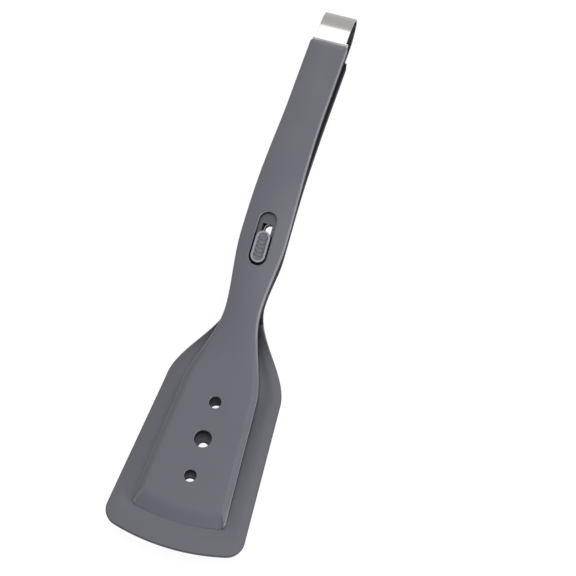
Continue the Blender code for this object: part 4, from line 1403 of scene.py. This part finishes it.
@dataclass
class CatchPlate:
    """Steel keyhole plate: the foot drops through its wide end and slides under the narrow one."""

    name: str
    break_edge: float = 0.15 * MM
    corner: float = 1.0 * MM
    steps: int = 5

    def outline(self, inset: float, height: float) -> Loop:
        """Rounded oblong of the plate."""
        half = LOCK.catch_width / 2 - self.corner
        begin, end = PLACES.plate
        radius = self.corner - inset
        spots = []
        corners = ((half, end), (-half, end), (-half, begin), (half, begin))
        for turn, (across, station) in enumerate(corners):
            middle = station - self.corner if turn < 2 else station + self.corner
            for share in even_shares(self.steps):
                angle = math.pi / 2 * (turn + share)
                spot = (across + radius * math.cos(angle), middle + radius * math.sin(angle), height)
                spots.append(Vector(spot))
        return spots

    def build(self) -> bpy.types.Object:
        """Stamp the plate, cut its keyhole and its screw seats and form it."""
        top = PLACES.catch_top
        low = top - LOCK.catch_thickness
        edge = self.break_edge
        levels = ((edge, low), (0.0, low + edge), (0.0, top - edge), (edge, top))
        thing = solid(self.name, [self.outline(inset, level) for inset, level in levels])
        half_stem = LOCK.stem_length / 2
        narrow = stadium(
            LOCK.stem_width + 2 * LOCK.catch_slot_gap, PLACES.catch, PLACES.room[1], low - FITS.overrun
        )
        over = [Vector((spot.x, spot.y, top + FITS.overrun)) for spot in narrow]
        wide = (PLACES.room[0], PLACES.catch + half_stem + LOCK.exit_room)
        width = LOCK.foot_width + 2 * LOCK.catch_slot_gap
        tools = [
            solid("narrow", [narrow, over]),
            block("wide", width, wide, low - FITS.overrun, top + FITS.overrun),
        ]
        tools += [CatchScrew("seat", station).cutter() for station in PLACES.screws]
        change(thing, tools)
        form(thing, LOWER.profile)
        shade(thing)
        return thing


@dataclass
class ThumbSlide:
    """Dished thumb slide of the lock with a round rim and cross ribs."""

    name: str
    proud: float = 0.9 * MM
    rim: float = 1.15 * MM
    rim_round: float = 0.35 * MM
    dish: float = 0.9 * MM
    fillet: float = 0.3 * MM
    foot_edge: float = 0.2 * MM
    ribs: int = 5
    rib_pitch: float = 2.4 * MM
    rib_length: float = 5.2 * MM
    rib_width: float = 1.4 * MM
    rib_height: float = 0.75 * MM
    rib_sink: float = 0.3 * MM
    leaf_length: float = 5.0 * MM
    leaf_width: float = 4.0 * MM
    leaf_rise: float = 1.3 * MM
    bore: float = 1.3 * MM
    bore_depth: float = 2.3 * MM

    def loops(self) -> list[Loop]:
        """Outline loops from the underside over the rim to the dish."""
        bottom = FITS.clearance - LOCK.slot_depth
        line = [(self.foot_edge, bottom), (0.0, bottom + self.foot_edge)]
        for share in even_shares(6):
            angle = math.pi / 2 * share
            inset = self.rim_round * (1 - math.cos(angle))
            line.append((inset, self.proud - self.rim_round * (1 - math.sin(angle))))
        inner = self.rim - self.rim_round / 2
        for share in even_shares(4):
            angle = math.pi / 2 * share
            inset = inner + self.fillet * math.sin(angle)
            line.append((inset, self.proud - self.fillet * (1 - math.cos(angle))))
        floor = self.proud - self.dish
        for share in even_shares(4):
            angle = math.pi / 2 * share
            inset = inner + self.fillet + self.fillet * (1 - math.cos(angle)) + FITS.break_edge / 4
            line.append((inset, floor + self.fillet * (1 - math.sin(angle))))
        reach = LOCK.slide_length / 2
        return [
            stadium(LOCK.slide_width - 2 * inset, inset - reach, reach - inset, level, 20)
            for inset, level in line
        ]

    def rib(self, middle: float) -> bpy.types.Object:
        """One rib with a round back and round ends."""
        base = self.proud - self.dish - self.rib_sink
        height = self.rib_height + self.rib_sink
        loops = []
        for share in even_shares(12):
            turn = math.pi * (0.04 + 0.92 * share)
            across = -self.rib_length / 2 * math.cos(turn)
            full = math.sin(turn) ** 0.45
            loop = []
            for step in even_shares(12):
                angle = math.pi * step
                spot = (
                    across,
                    middle + self.rib_width / 2 * math.cos(angle) * full,
                    base + height * math.sin(angle) ** 0.8 * full,
                )
                loop.append(Vector(spot))
            loops.append(loop)
        return solid("rib", loops)

    def build(self) -> bpy.types.Object:
        """Model the slide about its own place, add its ribs and seat it in the arm."""
        thing = solid(self.name, self.loops())
        first = -(self.ribs - 1) / 2
        ribs = [self.rib((first + step) * self.rib_pitch) for step in range(self.ribs)]
        change(thing, ribs, Join.FUSE)
        bottom = FITS.clearance - LOCK.slot_depth
        leaf = -LOCK.stem_length / 2 - FITS.clearance - self.leaf_length
        span = (leaf - FITS.clearance, leaf + self.leaf_length + FITS.clearance)
        width = self.leaf_width + 2 * FITS.clearance
        bore = [(self.bore, -self.proud - LOCK.slot_depth), (self.bore, bottom + self.bore_depth)]
        tools = [
            block("leaf_room", width, span, bottom - FITS.overrun, bottom + self.leaf_rise),
            lathe("bore", bore, 24),
        ]
        change(thing, tools)
        split_faces(thing)
        # Paint a highlight on the rim: the edge mark rises to 1 over the rim's round at the top.
        mark = thing.data.attributes.new(PAINTED_LIGHT, "FLOAT", "POINT")
        for vertex, value in zip(thing.data.vertices, mark.data):
            value.value = smooth_share(1 - (self.proud - vertex.co.z) / self.rim_round)
        seat(thing, UPPER.profile, PLACES.slide)
        shade(thing)
        return thing


@dataclass
class SteelBand:
    """Spring steel band: riveted tongues, shoulders, a joggle and the bow that joins the arms."""

    name: str
    shoulder: float = 0.5 * MM
    corner_steps: int = 3

    def half(self, arm: Arm) -> list[tuple[Vector, float]]:
        """Centre line and half widths of one leg, from the tongue's end to the bow's start."""
        tongue, wide, narrow = BAND.tongue_width / 2, BAND.root_width / 2, BAND.width / 2
        begin = -arm.end_wall - BAND.tongue_length
        root = FITS.clearance
        edge = self.shoulder
        line = [
            (begin, 0.0, tongue - edge),
            (begin + edge, 0.0, tongue),
            (-arm.end_wall, 0.0, tongue),
            (root, 0.0, tongue),
            (root + edge / 5, 0.0, wide - edge),
            (root + edge / 2, 0.0, wide - edge / 5),
            (root + edge, 0.0, wide),
        ]
        joggle = root + edge
        run = BAND.joggle * 2
        for share in even_shares(6)[1:]:
            line.append((joggle + run * share, smooth_share(share), wide))
        end = joggle + run
        line += [(end + edge / 2, 1.0, wide - edge / 5), (end + edge * 0.8, 1.0, narrow + edge / 2)]
        for share in even_shares(5):
            line.append((mix(end + edge * 1.2, BAND.leg, share), 1.0, narrow))
        made = []
        for distance, stepped, across in line:
            depth = (BAND.depth_in_arm - BAND.joggle * stepped) * arm.inward
            spot = Vector((0.0, arm.profile.length + distance, depth))
            made.append((arm.profile.place(spot), across))
        return made

    def bow(self) -> tuple[Vector, Vector, Vector]:
        """Middle of the bow's open side, its outward direction and its half depth."""
        upper = self.half(UPPER)[-1][0]
        lower = self.half(LOWER)[-1][0]
        across = (upper - lower) / 2
        outward = Vector((0.0, across.z, -across.y)).normalized()
        return (upper + lower) / 2, outward, across

    def line(self) -> list[tuple[Vector, float]]:
        """Centre line and half widths from one tongue round the bow to the other."""
        middle, outward, across = self.bow()
        line = self.half(UPPER)
        for share in even_shares(BAND.bow_steps)[1:-1]:
            angle = math.pi * (0.5 - share)
            spot = middle + outward * (BAND.bow_run * math.cos(angle)) + across * math.sin(angle)
            line.append((spot, BAND.width / 2))
        return line + list(reversed(self.half(LOWER)))

    def section(self, spot: Vector, normal: Vector, half: float) -> Loop:
        """Rounded oblong across the strip."""
        radius = BAND.edge_round
        wide = half - radius
        thick = BAND.thickness / 2 - radius
        loop = []
        corners = ((wide, thick), (-wide, thick), (-wide, -thick), (wide, -thick))
        for turn, (across, level) in enumerate(corners):
            for share in even_shares(self.corner_steps):
                angle = math.pi / 2 * (turn + share)
                height = level + radius * math.sin(angle)
                loop.append(spot + normal * height + Vector((across + radius * math.cos(angle), 0.0, 0.0)))
        return loop

    def build(self) -> bpy.types.Object:
        """Roll the strip round the bow and punch its rivet holes."""
        line = self.line()
        loops = []
        for index, (spot, half) in enumerate(line):
            along = line[min(len(line) - 1, index + 1)][0] - line[max(0, index - 1)][0]
            normal = Vector((0.0, -along.z, along.y)).normalized()
            loops.append(self.section(spot, normal, half))
        thing = solid(self.name, loops)
        holes = []
        for arm in (UPPER, LOWER):
            for station in arm.rivets():
                hole = Rivet("hole", arm, station).cutter()
                form(hole, arm.profile)
                holes.append(hole)
        change(thing, holes)
        split_faces(thing)
        shade(thing)
        return thing


def table_turn() -> Matrix:
    """Turn that lays the closed tongs on the heel and the handle's end, placed as the frame is."""
    profile = LOWER.profile
    corner = profile.place(Vector((0.0, profile.length, -LOWER.crown)))
    heel_leg = profile.legs[1]
    low, high = 0.0, heel_leg.turn
    for _ in range(50):
        tilt = (low + high) / 2
        heel = profile.place(Vector((0.0, heel_leg.begin + heel_leg.length * tilt / heel_leg.turn, 0.0)))
        over = (corner.z - heel.z) * math.cos(tilt) - (corner.y - heel.y) * math.sin(tilt)
        low, high = (tilt, high) if over > 0 else (low, tilt)
    turn = Matrix.Rotation(-tilt, 4, "X")
    _, front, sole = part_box("lower_arm_skin")[0]
    start = Vector((0.0, front, sole - (turn @ heel).z))
    return Matrix.Translation(start) @ turn


class Link:
    """Short hand for adding and joining the nodes of one tree."""

    def __init__(self, tree: bpy.types.NodeTree) -> None:
        """Keep the tree that is being built."""
        self.tree = tree

    def add(self, kind: str, **settings: object) -> bpy.types.Node:
        """Add a node.

        Args:
            kind: Type name of the node.
            settings: Properties by name, or sockets by their number with an underscore before it.

        Returns:
            The node.
        """
        node = self.tree.nodes.new(kind)
        for key, value in settings.items():
            if not key.startswith("_"):
                setattr(node, key, value)
        for key, value in settings.items():
            if key.startswith("_"):
                self.feed(node.inputs[int(key[1:])], value)
        return node

    def feed(self, socket: bpy.types.NodeSocket, value: object) -> None:
        """Give a socket a value or the output of another node."""
        if isinstance(value, bpy.types.NodeSocket):
            self.tree.links.new(value, socket)
        else:
            socket.default_value = value

    def maths(self, operation: str, first: object, second: object) -> bpy.types.NodeSocket:
        """Result of a sum on two values."""
        return self.add("ShaderNodeMath", operation=operation, _0=first, _1=second).outputs[0]

    def noise(self, vector: object, scale: float, detail: float = 2.0, rough: float = 0.5) -> bpy.types.NodeSocket:
        """Noise between 0 and 1 over the piece."""
        node = self.add("ShaderNodeTexNoise", _0=vector, _2=scale, _3=detail, _4=rough)
        return node.outputs[0]

    def spread(self, value: object, low: float, high: float, begin: float, end: float) -> bpy.types.NodeSocket:
        """Carry a range of values onto another one, clamped."""
        node = self.add("ShaderNodeMapRange", _0=value, _1=low, _2=high, _3=begin, _4=end)
        return node.outputs[0]


class Effect:
    """Node group with named inputs and outputs, shared by several finishes."""

    def __init__(self, name: str, inputs: dict[str, str], outputs: dict[str, str]) -> None:
        """Make the empty group.

        Args:
            name: Name of the group.
            inputs: Kind of each input socket.
            outputs: Kind of each output socket.
        """
        self.tree = bpy.data.node_groups.new(name, "ShaderNodeTree")
        for sockets, way in ((inputs, "INPUT"), (outputs, "OUTPUT")):
            for label, kind in sockets.items():
                self.tree.interface.new_socket(label, in_out=way, socket_type=f"NodeSocket{kind}")
        self.link = Link(self.tree)
        self.source = self.link.add("NodeGroupInput").outputs
        self.result = self.link.add("NodeGroupOutput").inputs

    def place(self, link: Link, **values: object) -> bpy.types.Node:
        """Place the group in a material with its own values."""
        node = link.add("ShaderNodeGroup", node_tree=self.tree)
        for label, value in values.items():
            link.feed(node.inputs[label], value)
        return node


def moulded_grain() -> Effect:
    """Fine surface of moulded plastic: a very fine grain over a soft unevenness."""
    effect = Effect("moulded_grain", {"Place": "Vector", "Scale": "Float", "Depth": "Float"}, {"Height": "Float"})
    link, source = effect.link, effect.source
    fine = link.add("ShaderNodeTexNoise", _0=source["Place"], _2=source["Scale"], _3=3.0, _4=0.6).outputs[0]
    soft = link.noise(source["Place"], 160.0, 1.0)
    both = link.maths("ADD", fine, link.maths("MULTIPLY", soft, 2.5))
    link.feed(effect.result["Height"], link.maths("MULTIPLY", both, source["Depth"]))
    return effect


def tone_drift() -> Effect:
    """Slow change of tone over a piece."""
    effect = Effect("tone_drift", {"Place": "Vector", "Color": "Color", "Amount": "Float"}, {"Color": "Color"})
    link, source = effect.link, effect.source
    slow = link.noise(source["Place"], 14.0, 3.0)
    swing = link.maths("MULTIPLY", link.maths("SUBTRACT", slow, 0.5), source["Amount"])
    gain = link.maths("ADD", swing, 1.0)
    scaled = link.add("ShaderNodeVectorMath", operation="SCALE", _0=source["Color"])
    link.feed(scaled.inputs["Scale"], gain)
    link.feed(effect.result["Color"], scaled.outputs[0])
    return effect


def handling_marks() -> Effect:
    """Faint smears and fine scuffs that change the gloss where the piece is handled."""
    effect = Effect(
        "handling_marks", {"Place": "Vector", "Base": "Float", "Amount": "Float"}, {"Roughness": "Float"}
    )
    link, source = effect.link, effect.source
    smears = link.spread(link.noise(source["Place"], 38.0, 5.0, 0.65), 0.45, 0.7, 0.0, 1.0)
    stretched = link.add("ShaderNodeVectorMath", operation="MULTIPLY", _0=source["Place"], _1=(1.0, 0.12, 1.0))
    scuffs = link.spread(link.noise(stretched.outputs[0], 900.0, 2.0, 0.7), 0.62, 0.75, 0.0, 0.5)
    marks = link.maths("MULTIPLY", link.maths("ADD", smears, scuffs), source["Amount"])
    link.feed(effect.result["Roughness"], link.maths("ADD", source["Base"], marks))
    return effect


def rolled_streaks() -> Effect:
    """Fine rolling lines along a steel strip, as a mask about 0.5."""
    effect = Effect("rolled_streaks", {"Place": "Vector", "Run": "Vector"}, {"Streak": "Float"})
    link, source = effect.link, effect.source
    drawn = link.add("ShaderNodeVectorMath", operation="MULTIPLY", _0=source["Place"], _1=source["Run"])
    link.feed(effect.result["Streak"], link.noise(drawn.outputs[0], 1.0, 4.0, 0.6))
    return effect


class Shop:
    """The shared effects, each built once."""

    def __init__(self) -> None:
        """Build the effect groups."""
        self.grain = moulded_grain()
        self.drift = tone_drift()
        self.marks = handling_marks()
        self.streaks = rolled_streaks()


@dataclass(frozen=True)
class Moulded:
    """Finish of a moulded plastic piece."""

    name: str
    color: tuple[float, float, float]
    roughness: float
    drift: float = 0.07
    marks: float = 0.07
    grain_scale: float = 2600.0
    grain_depth: float = 1.0
    # Gain of the painted highlight on edges marked 1; shaded is the gain of the painted shade on edges marked -1.
    painted_highlight: float = 0.0
    shaded: float = 0.2
    specular: float = 0.5

    def make(self, shop: Shop) -> bpy.types.Material:
        """Build the material.

        Args:
            shop: The shared effects.

        Returns:
            The material.
        """
        material, link, shader, place = blank_material(self.name, self.color)
        shader.inputs["Specular IOR Level"].default_value = self.specular
        drift = shop.drift.place(link, Place=place, Color=(*self.color, 1.0), Amount=self.drift)
        tone = drift.outputs["Color"]
        # The edge mark scales the tone: up for a painted highlight, down for painted shade.
        if self.painted_highlight:
            mask = link.add("ShaderNodeAttribute", attribute_name=PAINTED_LIGHT).outputs["Fac"]
            paler = link.spread(mask, 0.0, 1.0, 1.0, self.painted_highlight)
            darker = link.spread(mask, -1.0, 0.0, self.shaded, 1.0)
            scaled = link.add("ShaderNodeVectorMath", operation="SCALE", _0=tone)
            link.feed(scaled.inputs["Scale"], link.maths("MULTIPLY", paler, darker))
            tone = scaled.outputs[0]
        link.feed(shader.inputs["Base Color"], tone)
        marks = shop.marks.place(link, Place=place, Base=self.roughness, Amount=self.marks)
        link.feed(shader.inputs["Roughness"], marks.outputs["Roughness"])
        grain = shop.grain.place(link, Place=place, Scale=self.grain_scale, Depth=self.grain_depth)
        bump(link, shader, grain.outputs["Height"], 0.012 * MM)
        return material


@dataclass(frozen=True)
class Steel:
    """Finish of a steel piece with lines along its run."""

    name: str
    color: tuple[float, float, float]
    roughness: float
    run: tuple[float, float, float]
    contrast: float = 0.12
    depth: float = 0.004 * MM

    def make(self, shop: Shop) -> bpy.types.Material:
        """Build the material.

        Args:
            shop: The shared effects.

        Returns:
            The material.
        """
        material, link, shader, place = blank_material(self.name, self.color)
        shader.inputs["Metallic"].default_value = 1.0
        streak = shop.streaks.place(link, Place=place, Run=self.run).outputs["Streak"]
        tone = link.spread(streak, 0.25, 0.75, 1 - self.contrast / 2, 1 + self.contrast / 2)
        scaled = link.add("ShaderNodeVectorMath", operation="SCALE", _0=self.color)
        link.feed(scaled.inputs["Scale"], tone)
        link.feed(shader.inputs["Base Color"], scaled.outputs[0])
        base = link.spread(streak, 0.25, 0.75, self.roughness * 0.85, self.roughness * 1.15)
        marks = shop.marks.place(link, Place=place, Base=base, Amount=0.05)
        link.feed(shader.inputs["Roughness"], marks.outputs["Roughness"])
        bump(link, shader, streak, self.depth)
        return material


def blank_material(name: str, color: tuple[float, float, float]) -> tuple:
    """Start a material.

    Args:
        name: Name of the material.
        color: Colour shown in solid view.

    Returns:
        The material, its tree's link, its shader and the place on the piece.
    """
    material = bpy.data.materials.new(name)
    material.use_nodes = True
    material.diffuse_color = (*color, 1.0)
    link = Link(material.node_tree)
    shader = material.node_tree.nodes["Principled BSDF"]
    place = link.add("ShaderNodeTexCoord").outputs["Object"]
    return material, link, shader, place


def bump(link: Link, shader: bpy.types.Node, height: bpy.types.NodeSocket, distance: float) -> None:
    """Raise a surface by a height."""
    node = link.add("ShaderNodeBump")
    node.inputs["Distance"].default_value = distance
    link.feed(node.inputs["Height"], height)
    link.feed(shader.inputs["Normal"], node.outputs["Normal"])


class Finishes:
    """The five finishes of the record's slots, and the steel of the pieces that are not rolled."""

    def __init__(self) -> None:
        """Build the materials."""
        shop = Shop()
        makers = {
            # painted_highlight: gain of the painted highlights on the grey mouldings' edges and on the slide's
            # rim.
            Slot.GREY: Moulded("satin_slate_grey", (0.148, 0.151, 0.179), 0.4, painted_highlight=1.75),
            # Dark nylon set darker than its own colour: on the inserts it is the nylon, on the mouldings' marked
            # walls it is painted shade.
            Slot.NYLON: Moulded(
                "nylon_and_painted_shade", (0.013, 0.0135, 0.016), 0.65, 0.25, 0.12, 1500.0, 2.0, specular=0.2
            ),
            Slot.BUTTON: Moulded("slide_grey", (0.185, 0.188, 0.215), 0.38, 0.05, 0.06, painted_highlight=2.0),
            Slot.STEEL: Steel("rolled_spring_steel", (0.385, 0.362, 0.362), 0.2, (2600.0, 26.0, 26.0)),
            Slot.SCREW: Steel("turned_screw_steel", (0.5, 0.495, 0.49), 0.34, (900.0, 900.0, 200.0), 0.2),
        }
        self.materials = {slot: maker.make(shop) for slot, maker in makers.items()}


class Bench:
    """Where finished pieces get their finish, their place and their body."""

    def __init__(self) -> None:
        """Make the finishes and find the table turn."""
        self.finishes = Finishes()
        self.turn = table_turn()

    def present(
        self,
        thing: bpy.types.Object,
        slot: Slot,
        body: Body | None,
        node: str,
        second: Slot | None = None,
    ) -> None:
        """Dress a finished piece.

        Args:
            thing: The piece, in the arms' frame.
            slot: The finish it has.
            body: The body that it rides on, or nothing where it bends between two.
            node: The solid that it stands for.
            second: The finish of the faces that are marked for a second one: painted shade on the mouldings, the
                moulding's grey on the upper insert's recess floor.
        """
        thing.data.transform(self.turn)
        faces = thing.data.polygons
        picked = [face.material_index for face in faces]
        thing.data.materials.clear()
        thing.data.materials.append(self.finishes.materials[slot])
        if second:
            thing.data.materials.append(self.finishes.materials[second])
            faces.foreach_set("material_index", picked)
        if body:
            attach(thing, body.value)
        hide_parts(node)
        log.info("%s: %d faces for %s", thing.name, len(thing.data.polygons), node)

    def refinish(self, node: str, slot: Slot) -> None:
        """Give a solid of the frame the finish of its slot."""
        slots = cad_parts[node].material_slots
        for place in slots:
            place.material = self.finishes.materials[slot]
        log.info("%s: finished as %s", node, slot.value)


class ArmAssembly:
    """Moulding, insert and rivets of one arm."""

    def __init__(self, moulding: Moulding, insert: Insert) -> None:
        """Keep the arm's two large pieces."""
        self.moulding = moulding
        self.insert = insert
        self.arm = insert.arm

    def build(self, bench: Bench) -> None:
        """Build and dress the arm's pieces."""
        key, body = self.arm.key, self.arm.body
        # The moulding's faces marked for the dark nylon are painted shade.
        bench.present(self.moulding.build(), Slot.GREY, body, f"{key}_arm_skin", Slot.NYLON)
        bench.present(self.insert.build(), Slot.NYLON, body, f"{key}_arm_core", Slot.GREY)
        for place, station in zip(("rear", "front"), self.arm.rivets()):
            rivet = Rivet(f"{key}_rivet_{place}", self.arm, station)
            bench.present(rivet.build(), Slot.SCREW, body, f"{key}_band_rivet_{place}")


class LockAssembly:
    """Thumb slide with its hidden hook, screw and leaf, and the keyhole plate with its screws."""

    def build(self, bench: Bench) -> None:
        """Build and dress the lock's pieces."""
        bench.present(ThumbSlide("thumb_slide").build(), Slot.BUTTON, Body.SLIDER, "lock_button")
        bench.present(CatchPlate("keyhole_plate").build(), Slot.STEEL, Body.LOWER, "lock_catch")
        for place, station in zip(("front", "rear"), PLACES.screws):
            screw = CatchScrew(f"plate_screw_{place}", station)
            bench.present(screw.build(), Slot.SCREW, Body.LOWER, f"catch_screw_{place}")
        bench.refinish("lock_hook", Slot.NYLON)
        bench.refinish("lock_screw", Slot.SCREW)
        bench.refinish("detent_spring", Slot.STEEL)


class BandAssembly:
    """The steel band, which bends between the arms."""

    inset = 0.04

    def build(self, bench: Bench) -> None:
        """Build and dress the band."""
        band = SteelBand("steel_band")
        bench.present(band.build(), Slot.STEEL, None, "spring_band")
        middle, _, across = band.bow()
        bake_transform(bpy.data.objects[band.name])


@dataclass(frozen=True)
class Softbox:
    """One square studio lamp."""

    name: str
    spot: tuple[float, float, float]
    aim: tuple[float, float, float]
    size: float
    power: float

    def build(self) -> None:
        """Hang the lamp."""
        bpy.ops.object.light_add(type="AREA", location=self.spot)
        lamp = bpy.context.object
        lamp.name = self.name
        lamp.data.shape = "SQUARE"
        lamp.data.size = self.size
        lamp.data.energy = self.power
        away = Vector(self.spot) - Vector(self.aim)
        lamp.rotation_euler = away.to_track_quat("Z", "Y").to_euler()


@dataclass(frozen=True)
class Studio:
    """White sweep, plain soft lamps and the camera."""

    floor_size: float = 6.0
    floor_height: float = 0.25 * MM
    world_light: float = 0.38
    shown_white: float = 1.0
    floor_glow: float = 0.88
    elevation: float = 62.0 * DEG
    azimuth: float = 17.2 * DEG
    distance: float = 881.0 * MM
    aim: tuple[float, float, float] = (15.33 * MM, 170.86 * MM, 0.0)
    lens: float = 93.75
    lamps: tuple[Softbox, ...] = (
        Softbox("top_softbox", (0.12, 0.02, 0.7), (0.0, 0.0, 0.0), 0.35, 0.9),
        Softbox("back_softbox", (-0.18, 1.065, 1.087), (0.0, 0.165, 0.03), 0.4, 1.7),
        Softbox("side_softbox", (0.9, -0.3, 0.25), (0.0, 0.0, 0.0), 0.4, 4.6),
    )

    def seen(self, link: Link) -> bpy.types.NodeSocket:
        """Mask of the rays that show the background."""
        path = link.add("ShaderNodeLightPath").outputs
        seen = link.maths("MAXIMUM", path["Is Camera Ray"], path["Is Glossy Ray"])
        return link.maths("MAXIMUM", seen, path["Is Transmission Ray"])

    def world(self) -> None:
        """White surroundings that light the object plainly."""
        world = bpy.data.worlds.new("white_room")
        bpy.context.scene.world = world
        world.use_nodes = True
        link = Link(world.node_tree)
        back = world.node_tree.nodes["Background"]
        back.inputs["Color"].default_value = (1.0, 1.0, 1.0, 1.0)
        strength = link.spread(self.seen(link), 0.0, 1.0, self.world_light, self.shown_white)
        link.feed(back.inputs["Strength"], strength)

    def floor(self) -> None:
        """Pale floor that shows white and keeps the object's shadow."""
        bpy.ops.object.select_all(action="DESELECT")
        bpy.ops.mesh.primitive_plane_add(size=self.floor_size, location=(0.0, 0.0, self.floor_height))
        floor = bpy.context.object
        floor.name = "studio_floor"
        bpy.ops.object.transform_apply(location=True, rotation=True, scale=True)
        material, link, shader, _ = blank_material("white_sweep", (0.8, 0.8, 0.8))
        shader.inputs["Roughness"].default_value = 1.0
        shader.inputs["Specular IOR Level"].default_value = 0.0
        shader.inputs["Emission Color"].default_value = (1.0, 1.0, 1.0, 1.0)
        seen = self.seen(link)
        shade_of = link.spread(seen, 0.0, 1.0, 0.4, 0.25)
        grey = link.add("ShaderNodeCombineColor", _0=shade_of, _1=shade_of, _2=shade_of)
        link.feed(shader.inputs["Base Color"], grey.outputs[0])
        link.feed(shader.inputs["Emission Strength"], link.spread(seen, 0.0, 1.0, 0.0, self.floor_glow))
        floor.data.materials.append(material)
        floor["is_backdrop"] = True

    def camera(self, turn: Matrix) -> None:
        """Camera at the photograph's angle, placed about the arms' frame.

        Args:
            turn: The table turn of the arms' frame.
        """
        away = Vector(
            (
                math.sin(self.azimuth) * math.cos(self.elevation),
                -math.cos(self.azimuth) * math.cos(self.elevation),
                math.sin(self.elevation),
            )
        )
        right = Vector((math.cos(self.azimuth), math.sin(self.azimuth), 0.0))
        up = away.cross(right)
        spot = Vector(self.aim) + away * self.distance
        pose = Matrix((right, up, away)).transposed().to_4x4()
        pose.translation = spot
        bpy.ops.object.camera_add()
        camera = bpy.context.object
        camera.name = "photo_camera"
        camera.matrix_world = turn @ pose
        camera.data.lens = self.lens
        camera.data.sensor_width = 36.0
        camera.data.clip_start = 0.01
        bpy.context.scene.camera = camera

    def build(self, turn: Matrix) -> None:
        """Set up the studio."""
        bpy.context.scene.view_settings.view_transform = "Standard"
        self.world()
        self.floor()
        for lamp in self.lamps:
            lamp.build()
        self.camera(turn)


def plain(box: Iterable) -> list:
    """Nested numbers as plain lists."""
    return [plain(item) if hasattr(item, "__len__") else float(item) for item in box]


def main() -> None:
    """Build every assembly in order and set up the studio."""
    logging.basicConfig(level=logging.INFO, format="%(name)s: %(message)s")
    bench = Bench()
    upper_insert = Insert("upper_insert", UPPER, 18.0 * MM, 2.0 * MM)
    lower_insert = Insert("lower_insert", LOWER, 20.0 * MM, 1.25 * MM)
    ArmAssembly(UpperMoulding("upper_moulding", UPPER, upper_insert), upper_insert).build(bench)
    ArmAssembly(LowerMoulding("lower_moulding", LOWER, lower_insert), lower_insert).build(bench)
    LockAssembly().build(bench)
    BandAssembly().build(bench)
    Studio().build(bench.turn)
    {"cad": plain(CAD_BOX), "scene": plain(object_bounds())}


if __name__ == "__main__":
    main()
